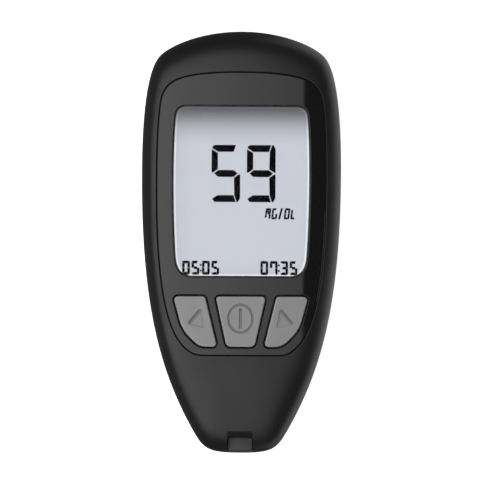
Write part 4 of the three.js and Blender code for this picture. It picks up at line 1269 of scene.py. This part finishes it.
shown = window_outline - normals_of(window_outline) * mask_insets
border_outer = grown(shown, 0.15)
border_inner = grown(shown, -border_width)
border = prism("display_border", border_outer, border_foot, border_foot + print_thickness)
carve(border, [prism("border_hole", border_inner, border_foot - 1, border_foot + 1)])
mask_levels = [below(fascia_back, depth) for depth in mask_depths]
mask_outline = grown(window_outline, mask_reach)
mask_print = stacked("window_mask", [ring(mask_outline, level) for level in mask_levels], *mask_levels)
carve(mask_print, [prism("mask_hole", shown, glass_top, clear_top)])
black_print = plastic("black_print", (0.006, 0.006, 0.006), (0.008, 0.008, 0.008), 0.5, 0.6)
fit(mask_print, black_print, "case", "fascia")


def painted_window_shadow(tree):
    """Painted shadow along the display's length: darker under the fascia's top edge."""
    along = add_node(tree, "ShaderNodeSeparateXYZ", {"Vector": own_place(tree)}).outputs["Y"]
    return ramped(tree, risen(tree, along, shadow_top_y * MM, shadow_foot_y * MM), painted_shadow_levels)


def multiplied(tree, one, other):
    """Two colours multiplied."""
    return add_node(tree, "ShaderNodeVectorMath", {0: one, 1: other}, operation="MULTIPLY").outputs[0]


def painted_glow_sheet(name, colour, painted_glow, body, roughness, mottle=0.03):
    """A pale sheet that glows with painted light, and a painted shadow darkens it under the window's top
    edge.
    Body is how much light of the room it throws back."""
    constants = {"Emission_Strength": painted_glow, "Specular_IOR_Level": 0.05}
    material, tree, shader = new_material(name, colour, roughness, **constants)
    grey = tint(tree, noise(tree, 260), tuple(c * (1 - mottle) for c in colour), colour)
    lit = multiplied(tree, grey, painted_window_shadow(tree))
    feed(shader, Base_Color=multiplied(tree, lit, (body, body, body)), Emission_Color=lit)
    return material


# The border print and the liquid crystal glow with painted light, under a painted shadow at their top.
fit(border, painted_glow_sheet("border_print", (0.8, 0.81, 0.84), 0.92, 0.2, 0.4), "case", "frame")
liquid_crystal = painted_glow_sheet("liquid_crystal", (0.6, 0.62, 0.685), 0.82, 0.28, 0.3)
dress("display_front_glass", liquid_crystal)
dress("display_rear_glass", liquid_crystal)
dress("light_guide", clear_acrylic("light_guide_acrylic", 0.05, 1.49))
white_moulding = plastic("white_moulding", (0.72, 0.73, 0.71), (0.78, 0.79, 0.77), 0.4, 0.5, 3500.0, 0.15)
dress("display_frame", white_moulding)
dress("zebra_connector", silicone("zebra_rubber", (0.4, 0.4, 0.38), (0.48, 0.48, 0.46)))


def black_foam():
    """Foam with open bubbles."""
    material, tree, shader = new_material("black_foam", (0.01, 0.01, 0.01), 0.95)
    bubbles = cells(tree, 5500.0)
    feed(shader, Base_Color=tint(tree, bubbles, (0.004, 0.004, 0.004), (0.03, 0.03, 0.03)))
    press(tree, shader, bubbles, 0.8, 0.05 * MM)
    return material


dress("display_gasket", black_foam())

# Rear shell: the back half of the case, moulded in the same black ABS with a flat middle to rest on. A lip
# inside the seam lines it up with the front. It has a pocket for the coin cell, bosses for the four screws
# and posts for the board.
rear_seam = 7.45
rear_trim = 0.8
rear_height = rear_seam + rear_trim
rear_lift_start = -20
rear_lift_share = 0.34
rear_edge_power = 10
rear_edge_roundness = 2
rest_softness = 0.3
lip_inset = 1.0
lip_foot = 5.65
lip_top = 8.45
lip_lead = 0.12
lip_lead_height = 0.15
pocket_half = 14.7
pocket_nose_y = 12.3
pocket_end_y = 39.5
pocket_top = 6.9
door_half = 12.5
doorway_y = 14.5
doorway_top = 1.5
end_room_top = 5.1
doorway_rounding = 0.15
cell_y = 27
well_radius = 10.3
well_top = 5.9
post_radius = 1.3
post_places = [(14.66, -5), (9.93, -25)]
rail_inner = 11.3
hook_inner = 10.3
hook_tip = 12.0
hook_half_length = 1.5
hook_places = [19.5, 31]
hook_levels = (2.4, 3.1)
rail_top = 2.3
door_travel = 6
counterbore_radius = 2.25
counterbore_floor = 2.9
counterbore_rounding = 0.2
contact_slots = [
    (span(2.1), (18.9, 19.5), 10), (span(2.6), (cell_y, 38.5), well_top), (span(2.6), (37.9, 38.5), 10),
]
label_half = 11
label_ends = (-25, -1)
label_radius = 3
label_recess = 0.3
label_flare = 0.25


def rear_level(x, y, rest=0.0):
    """Height of the back's outer surface under points. It comes to rest flat at a level."""
    rise = (1 - np.minimum(egg_share(x, y), 1) ** rear_edge_power) ** (1 / rear_edge_roundness)
    lift = np.maximum(0, (rear_lift_start - y) / (rear_lift_start + half_length)) ** 2
    z = rear_seam - rise * rear_height * (1 - rear_lift_share * lift) - rest
    blend = np.clip(z + rest_softness, 0, 2 * rest_softness) ** 2 / (4 * rest_softness)
    return np.maximum(z, blend) + rest


def door_level(x, y):
    """The door's flat face, which lies a little deeper than the case round it."""
    return rear_level(x, y, rest=door_sink)


def under_level(x, y):
    """The back's surface turned over, so that it can be cut like the front."""
    return -rear_level(x, y)


def turned_over(piece):
    """A cutting solid turned over in z."""
    piece.data.transform(Matrix.Diagonal((1, 1, -1, 1)))
    piece.data.flip_normals()
    return piece


def rear_dome(name, unit, inset, foot_depth, seam_rounding=0.0, rest=None, rings=22):
    """The back half of the case as a solid, or its inside at an even wall."""
    shares = {*edge_shares(rings, rear_edge_power, rear_edge_roundness), *np.linspace(0.9, 0.76, 8)}
    shares = sorted((share for share in shares if share > 0.7), reverse=True)
    dome = egg_sheet(name, unit, [*shares, 0.5, 0.36, 0.2])
    grow(
        dome, egg_dome, Half_width=half_width, Half_length=half_length, Seam_level=rear_seam, Upwards=-1.0,
        Height=rear_height, Edge_power=float(rear_edge_power), Edge_roundness=float(rear_edge_roundness),
        Peak_place=float(rear_lift_start), Drop_towards_the_end=0.0, Drop_towards_the_nose=rear_lift_share,
        Side_crown=0.0, Crown_half_width=float(fascia_half), Rest_softness=rest_softness,
        Rest_level=float(inset if rest is None else rest), Inset=float(inset), Foot_depth=float(foot_depth),
        Seam_rounding=seam_rounding,
    )
    return dome


def flared_block(name, x, y, foot, top, rounding):
    """A cutting block whose open foot at foot is flared, to round the edge that it leaves."""
    corners = rectangle(x, y)
    outwards = np.sign(corners - corners.mean(axis=0))
    rings = [ring(corners + outwards * rounding, foot - overrun)]
    for spread, rise in quarter(rounding, 5, 70)[::-1]:
        rings.append(ring(corners + outwards * spread, foot + rise))
    return stacked(name, [*rings, ring(corners, top)])


rear_shell = rear_dome("rear_shell_moulding", case_unit, 0, 0, seam_rounding)
inner_unit = case_unit[::3]
rear_hollow = rear_dome("rear_hollow", inner_unit, wall, overrun, rings=8)
carve(rear_shell, [rear_hollow])
lip_rings = [ring(drawn_in(lip_inset), z) for z in (lip_foot, lip_top - lip_lead_height)]
lip_rings.append(ring(drawn_in(lip_inset + lip_lead), lip_top))
lip = stacked("lip", lip_rings)
carve(lip, [prism("lip_inside", drawn_in(wall), lip_foot - 1, lip_top + 1)])
uprights = [
    prism("boss", oval(boss_radius, boss_radius, place), wall / 2, front_base) for place in screw_places
]
for x, y in post_places:
    for side in (-1, 1):
        post = oval(post_radius, post_radius, (side * x, y), 48)
        uprights.append(prism("post", post, wall / 2, pocket_top))
inside_parts = block("pocket", span(pocket_half), (pocket_nose_y, pocket_end_y), (wall / 2, pocket_top))
carve(inside_parts, uprights, "UNION")
carve(inside_parts, [rear_dome("keep_inside", inner_unit, wall / 2, 12, rings=8)], "INTERSECT")
carve(rear_shell, [lip, inside_parts], "UNION")

beyond = half_length + overrun
cuts = [
    flared_block("doorway", span(door_half), (doorway_y, beyond), 0, doorway_top, doorway_rounding),
    block("end_room", span(door_half), (pocket_end_y, beyond), (-overrun, end_room_top)),
    prism("well", oval(well_radius, well_radius, (0, cell_y), 128), -overrun, well_top),
]
cuts += [block("contact_slot", x, y, (-overrun, top)) for x, y, top in contact_slots]
for y in hook_places:
    start = y - hook_half_length - seat_gap
    end = y + hook_half_length + door_travel + seat_gap
    notch_start = end - 2 * (hook_half_length + seat_gap)
    groove_top = hook_levels[1] + seat_gap
    for side in (-1, 1):
        inner, middle, outer = side * (hook_inner - seat_gap), side * rail_inner, side * (hook_tip + seat_gap)
        cuts += [
            block("groove", sorted((inner, middle)), (start, end), (-overrun, groove_top)),
            block("groove", sorted((inner, outer)), (start, end), (rail_top, groove_top)),
            block("groove", sorted((inner, outer)), (notch_start, end), (-overrun, groove_top)),
        ]
for place in screw_places:
    bore = oval(pilot_radius, pilot_radius, place, 32)
    cuts.append(prism("bore", bore, -overrun, front_base + overrun))
    wide = oval(counterbore_radius, counterbore_radius, place, 64)
    sink = mouth("counterbore", wide, -counterbore_floor, under_level, counterbore_rounding, 4, 1.0)
    cuts.append(turned_over(sink))
label_outline = rounded(rectangle(span(label_half), label_ends), [label_radius] * 4, 12)
recess_rings = [ring(grown(label_outline, label_flare), z) for z in (-overrun, 0)]
recess_rings += [ring(grown(label_outline, seat_gap), z) for z in (label_recess / 2, label_recess)]
cuts.append(stacked("label_recess", recess_rings))
carve(rear_shell, cuts)
shade(rear_shell, [(rear_level, -1)], 24)
fit(rear_shell, satin_black, "case", "case", "rear_shell")

# Label: a blank film plate in a shallow recess of the back, silver with a satin face. Its corners are
# rounded.
label_levels = (0.1, 0.13, 0.25)
label_rings = [ring(grown(label_outline, -0.03), label_levels[0])]
label_rings += [ring(label_outline, level) for level in label_levels[1:]]
label = stacked("rear_label_film", label_rings)


def metal(name, dark, pale, smooth, rough, streaks=(400.0, 400.0, 400.0), depth=0.15):
    """Bare metal or a metallised film: fine streaks or grains, and duller where it has been touched."""
    material, tree, shader = new_material(name, dark, rough, Metallic=1.0)
    stretched = add_node(tree, "ShaderNodeMapping", {"Vector": own_place(tree), "Scale": streaks}).outputs[0]
    lines = noise(tree, 1.0, 4.0, stretched)
    marks = use_group(tree, handling_marks, Patches_per_metre=150.0)
    feed(
        shader, Base_Color=tint(tree, lines, dark, pale),
        Roughness=between(tree, marks["Rubbed"], smooth, rough),
    )
    press(tree, shader, lines, depth, 0.01 * MM)
    return material


shade(label)
silver_film = metal("silver_film", (0.42, 0.43, 0.44), (0.5, 0.51, 0.52), 0.32, 0.4, (90.0, 5000.0, 5000.0))
fit(label, silver_film, "case", "label", "rear_label")

# Cell door: a slice of the back's skin in the same black ABS, which slides off the display end. Four hooks
# hold it under the shell's rails, and grooves under the thumb give it grip.
door_sink = 0.1
door_gap = 0.3
door_thickness = 1.4
door_top = 5
door_rounding = 0.2
door_corner = 0.4
hook_outer = 11.0
grip_count = 5
grip_pitch = 1.5
grip_groove = 0.75
grip_width = 10
grip_depth = 0.305
grip_rounding = 0.25
grip_flare = 0.12

door = rear_dome("cell_door_moulding", case_unit, 0, 0, rest=door_sink)
door_side = door_half - door_gap
door_start = doorway_y + door_gap
slice_corners = rectangle(span(door_side), (door_start, beyond))
slice_outline = evenly(rounded(slice_corners, [door_corner] * 4, 6), 240)
slice_rings = []
for inset, rise in quarter(door_rounding, 6)[::-1]:
    slice_rings.append(ring(grown(slice_outline, -inset), door_sink + rise))
slice_rings.append(ring(slice_outline, door_top))
carve(door, [stacked("door_slice", slice_rings)], "INTERSECT")
under_pocket_ends = (doorway_y, pocket_end_y + door_gap)
under_pocket = block("under_pocket", span(door_half), under_pocket_ends, (door_thickness, door_top + overrun))
carve(door, [rear_dome("door_inside", inner_unit, door_thickness, overrun), under_pocket])
hooks = []
for y in hook_places:
    along = (y - hook_half_length, y + hook_half_length)
    for side in (-1, 1):
        inner, outer, tip = side * hook_inner, side * hook_outer, side * hook_tip
        hooks.append(block("hook_stem", sorted((inner, outer)), along, (door_thickness / 2, hook_levels[1])))
        hooks.append(block("hook", sorted((inner, tip)), along, hook_levels))
carve(door, hooks, "UNION")


def row_tree():
    """Repeats a part along a straight row."""
    inputs = {"Start": "Geometry", "Part": "Object", "Count": "Int", "First place": "Vector"}
    tree, given = new_tree("row", {**inputs, "Step": "Vector", "Material": "Material"})
    places = {"Count": given["Count"], "Start Location": given["First place"], "Offset": given["Step"]}
    line = add_node(tree, "GeometryNodeMeshLine", places, mode="OFFSET").outputs[0]
    return end_tree(tree, copied_to(tree, line, given["Part"]), given["Material"])


row = row_tree()


def repeated(name, part, count, first, step, material):
    """A row of copies of a part as one piece. The part itself is deleted."""
    piece = new_piece(name, [], [])
    vectors = {"First_place": tuple(v * MM for v in first), "Step": tuple(v * MM for v in step)}
    grow(piece, row, Part=part, Count=count, Material=material, **vectors)
    bpy.data.objects.remove(part)
    return piece


groove_end = grip_groove / 2
groove_corners = rectangle(span(grip_width / 2), span(groove_end))
groove_outline = evenly(rounded(groove_corners, [groove_end * 0.98] * 4, 8), 120)
groove_rings = [ring(grown(groove_outline, grip_flare), z) for z in (-overrun, door_sink)]
for inset, rise in quarter(grip_rounding, 6):
    groove_rings.append(ring(grown(groove_outline, -inset), door_sink + grip_depth - 0.9 * rise))
groove = stacked("grip_groove", groove_rings)
first_groove = (0, cell_y - (grip_count - 1) / 2 * grip_pitch, 0)
grooves = repeated("grip_grooves", groove, grip_count, first_groove, (0, grip_pitch, 0), satin_black)
carve(door, [grooves])
shade(door, [(door_level, -1)], 24)
fit(door, satin_black, "cell_door", "case", "cell_door")

# Coin cell: a nickel-plated steel can with its rim rolled in over a smaller cap. The can faces the door.
cell_foot = 1.7
cell_top = 4.9
cell_radius = 10
cap_radius = 8.9
cap_height = 0.35


def turned(name, profile, place=(0, 0), count=96, thread=0.0, pitch=1.0):
    """A profile of (radius, z, threaded) turned about an upright axis. Threaded rings swell along a helix."""
    angle = np.linspace(0, 2 * math.pi, count, endpoint=False)
    rings = []
    for radius, z, *threaded in profile:
        turn = (z / pitch - angle / (2 * math.pi)) % 1
        swell = thread * (abs(turn * 2 - 1) * 2).clip(0, 1) if threaded else 0
        reach = radius + swell
        rings.append(ring(np.column_stack([reach * np.cos(angle), reach * np.sin(angle)]) + place, z))
    points = np.vstack([*rings, [[*place, profile[0][1]], [*place, profile[-1][1]]]])
    return new_piece(name, points, ring_faces(count, len(rings), len(points) - 2, len(points) - 1))


def arc(centre_radius, centre_z, radius, start, end, steps=6):
    """Points of a profile round a corner, from one angle in degrees to another."""
    return [
        (centre_radius + radius * math.cos(a), centre_z + radius * math.sin(a))
        for a in np.radians(np.linspace(start, end, steps))
    ]


cell_profile = [(4, cell_foot + 0.05), (8.6, cell_foot + 0.05), (9.0, cell_foot)]
cell_profile += arc(cell_radius - 0.5, cell_foot + 0.5, 0.5, -90, 0)
cell_profile += arc(cell_radius - 0.35, cell_top - cap_height - 0.35, 0.35, 0, 90)
cell_profile += arc(cap_radius + 0.28, cell_top - cap_height - 0.1, 0.1, 90, 180, 3)
cell_profile += [(cap_radius, cell_top - cap_height - 0.12)]
cell_profile += arc(cap_radius - 0.2, cell_top - 0.2, 0.2, 0, 90)
cell_profile += [(7.8, cell_top), (7.6, cell_top - 0.06), (4, cell_top - 0.06)]
coin_cell = turned("coin_cell_can", cell_profile, (0, cell_y))
shade(coin_cell, (), 40)
plated_steel = metal("plated_steel", (0.5, 0.5, 0.49), (0.6, 0.6, 0.585), 0.2, 0.32, (1500.0, 120.0, 1500.0))
fit(coin_cell, plated_steel, "case", "steel", "coin_cell")

# Cell contacts: two leaves of nickel-plated spring strip, bent so that one presses on the cap and the other
# on the can's side, with tails that stand up to the board.
contact_sheet = 0.2
minus_line = [(19.2, 6.95), (19.2, 5.75), (25, 5.7), (cell_y, 5.05), (29, 5.7)]
plus_line = [(38.2, 6.95), (38.2, 4.9), (37.25, 3.3), (38.0, 2.0)]


def eased(line, radius, steps=5):
    """A bent line with its corners rounded."""
    line = np.array(line, float)
    points = [line[0]]
    for before, corner, after in zip(line, line[1:], line[2:]):
        reach = min(radius, *(np.hypot(*(p - corner)) * 0.45 for p in (before, after)))
        start, end = [corner + (p - corner) / np.hypot(*(p - corner)) * reach for p in (before, after)]
        for t in np.linspace(0, 1, steps + 1):
            points.append((1 - t) ** 2 * start + 2 * (1 - t) * t * corner + t ** 2 * end)
    return np.vstack([*points, line[-1]])


def leaf(name, line, width, radius=0.4):
    """A strip of sheet metal bent along a line in Y and Z, and as wide as given in X."""
    line = eased(line, radius)
    along = np.gradient(line, axis=0)
    across = along[:, ::-1] * (1, -1) / np.hypot(*along.T)[:, None] * contact_sheet / 2
    outline = np.vstack([line + across, (line - across)[::-1]])
    piece = prism(name, outline, -width / 2, width / 2)
    piece.data.transform(Matrix(((0, 0, 1, 0), (1, 0, 0, 0), (0, 1, 0, 0), (0, 0, 0, 1))))
    return piece


nickel = metal("nickel_plate", (0.58, 0.56, 0.5), (0.68, 0.66, 0.6), 0.24, 0.36, (300.0, 2500.0, 2500.0))
for name, line, width in (("minus", minus_line, 4), ("plus", plus_line, 5)):
    contact = leaf("cell_leaf_" + name, line, width)
    shade(contact, (), 40)
    fit(contact, nickel, "case", "steel", "cell_contact_" + name)

# Board: a green circuit board that lies on the posts, notched round the screw bosses. Black moulded chips, a
# steel crystal can and a capacitor are soldered under it.


def solder_mask():
    """Green mask over copper: paler tracks under it, and tinned holes."""
    material, tree, shader = new_material("solder_mask", (0.01, 0.07, 0.03), 0.3, Specular_IOR_Level=0.5)
    bricks = {
        "Vector": own_place(tree), "Scale": 170.0, "Mortar Size": 0.03, "Mortar Smooth": 0.1,
        "Brick Width": 1.6, "Row Height": 0.22,
    }
    tracks = add_node(tree, "ShaderNodeTexBrick", bricks).outputs["Fac"]
    vias = risen(tree, cells(tree, 380.0, 0.5), 0.16, 0.13)
    green = tint(tree, tracks, (0.006, 0.05, 0.02), (0.02, 0.12, 0.045))
    feed(shader, Base_Color=tint(tree, vias, green, (0.4, 0.4, 0.38)), Metallic=vias)
    press(tree, shader, tracks, 0.3, 0.03 * MM)
    return material


dress("main_board", solder_mask())
chip_tones = ((0.012, 0.012, 0.013), (0.02, 0.02, 0.021))
chip_black = plastic("chip_moulding", *chip_tones, 0.5, 0.6, 7000.0, 0.3, 200.0)
for name in ("processor_chip", "memory_chip", "analog_chip", "storage_capacitor", "thermistor"):
    dress(name, chip_black)
dress("clock_crystal", plated_steel)

# Strip port: a dark grey moulded connector on the board. Its tongue reaches out into the nose notch and
# carries the strip in under four gold contacts.
port_half = 4.5
port_back_y = -32.3
port_foot = 8.3
port_top = 11.35
port_corner = 0.3
port_rounding = 0.15
tongue_half = 2.95
tongue_nose_y = -49.4
tongue_foot = 8.65
tongue_overlap = 0.6
tongue_radii = [0.7, 0.7, 0.25, 0.25]
strip_floor = 9.55
strip_roof = 10.75
port_back_wall = 1.5
contact_count = 4
contact_pitch = 1.27
contact_width = 0.45
contact_slot = 0.75
strip_line = [(-31.9, 8.25), (-31.9, 11.15), (-33.8, 11.15), (-38.8, 9.95), (-40.5, 10.75)]


def rounded_block(name, x, y, z, radii, rounding):
    """A block with rounded upright edges and a rounded top."""
    return moulded(name, rounded(rectangle(x, y), radii, 6), flat(z[0]), flat(z[1]), rounding, 4, 1e3)


port = rounded_block(
    "strip_port_moulding", span(port_half), (port_front_y, port_back_y), (port_foot, port_top),
    [port_corner] * 4, port_rounding,
)
tongue = rounded_block(
    "tongue", span(tongue_half), (tongue_nose_y, port_front_y + tongue_overlap), (tongue_foot, strip_floor),
    tongue_radii, port_rounding,
)
carve(port, [tongue], "UNION")
passage_ends = (port_front_y - overrun, port_back_y - port_back_wall)
passage = block("passage", span(slot_half), passage_ends, (strip_floor, strip_roof))
first_contact = -(contact_count - 1) / 2 * contact_pitch
one_slot = block(
    "contact_slot", span(contact_slot / 2), (port_front_y + port_back_wall, port_back_y + overrun),
    (strip_roof - seat_gap, port_top + overrun),
)
port_plastic = plastic("port_moulding", (0.03, 0.031, 0.031), (0.035, 0.036, 0.036), 0.42, 0.5)
contact_row = (contact_count, (first_contact, 0, 0), (contact_pitch, 0, 0))
carve(port, [passage, repeated("contact_slots", one_slot, *contact_row, port_plastic)])
shade(port, (), 34)
fit(port, port_plastic, "case", "port", "strip_port")
gold = metal("gold_plate", (0.72, 0.5, 0.18), (0.8, 0.58, 0.24), 0.2, 0.3, (500.0, 3000.0, 3000.0))
one_contact = leaf("strip_leaf", strip_line, contact_width, 0.3)
contacts = repeated("strip_contacts", one_contact, *contact_row, gold)
shade(contacts, (), 40)
fit(contacts, gold, "case", "gold", *(f"strip_contact_{i + 1}" for i in range(contact_count)))

# Screws: four small plated steel screws with pan heads and a cross recess. They are driven from the back,
# through the rear shell's bosses into the front's.
screw_head_radius = 2.1
screw_foot = 1.55
screw_seat = 2.85
screw_tip = 10.85
screw_core = 0.85
screw_thread = 0.25
screw_pitch = 0.8
cross_arm = 1.5
cross_half = 0.32
cross_depth = 0.8

head = [(1.2, screw_foot), (1.55, screw_foot + 0.1), (1.85, screw_foot + 0.32), (2.03, screw_foot + 0.62)]
head += [(screw_head_radius, screw_foot + 0.95), (screw_head_radius, screw_seat - 0.1)]
head += [(screw_head_radius - 0.1, screw_seat), (screw_core + screw_thread, screw_seat)]
thread_levels = np.arange(screw_seat + 0.3, screw_tip - 1.2, screw_pitch / 8)
shank = [(screw_core, z, True) for z in thread_levels]
shank += [(screw_core * share, screw_tip - 1.1 * share) for share in (0.95, 0.6, 0.2)]
screw = turned("case_screw", [*head, *shank, (0.05, screw_tip)], (0, 0), 32, screw_thread, screw_pitch)
arm, half = cross_arm, cross_half
cross = np.array([
    [arm, -half], [arm, half], [half, half], [half, arm], [-half, arm], [-half, half],
    [-arm, half], [-arm, -half], [-half, -half], [-half, -arm], [half, -arm], [half, -half],
])
cross_rings = [ring(cross * size, screw_foot + z) for size, z in ((1, -1), (1, 0.05), (0.8, cross_depth))]
carve(screw, [stacked("cross_recess", cross_rings)])


def copies_tree():
    """Sets a copy of a part at each point."""
    tree, given = new_tree("copies", {"Places": "Geometry", "Part": "Object", "Material": "Material"})
    return end_tree(tree, copied_to(tree, given["Places"], given["Part"]), given["Material"])


screws = new_piece("case_screws", [(x, y, 0) for x, y in screw_places], [])
grow(screws, copies_tree(), Part=screw, Material=plated_steel)
bpy.data.objects.remove(screw)
shade(screws, (), 34)
fit(screws, plated_steel, "case", "steel", *screw_nodes)
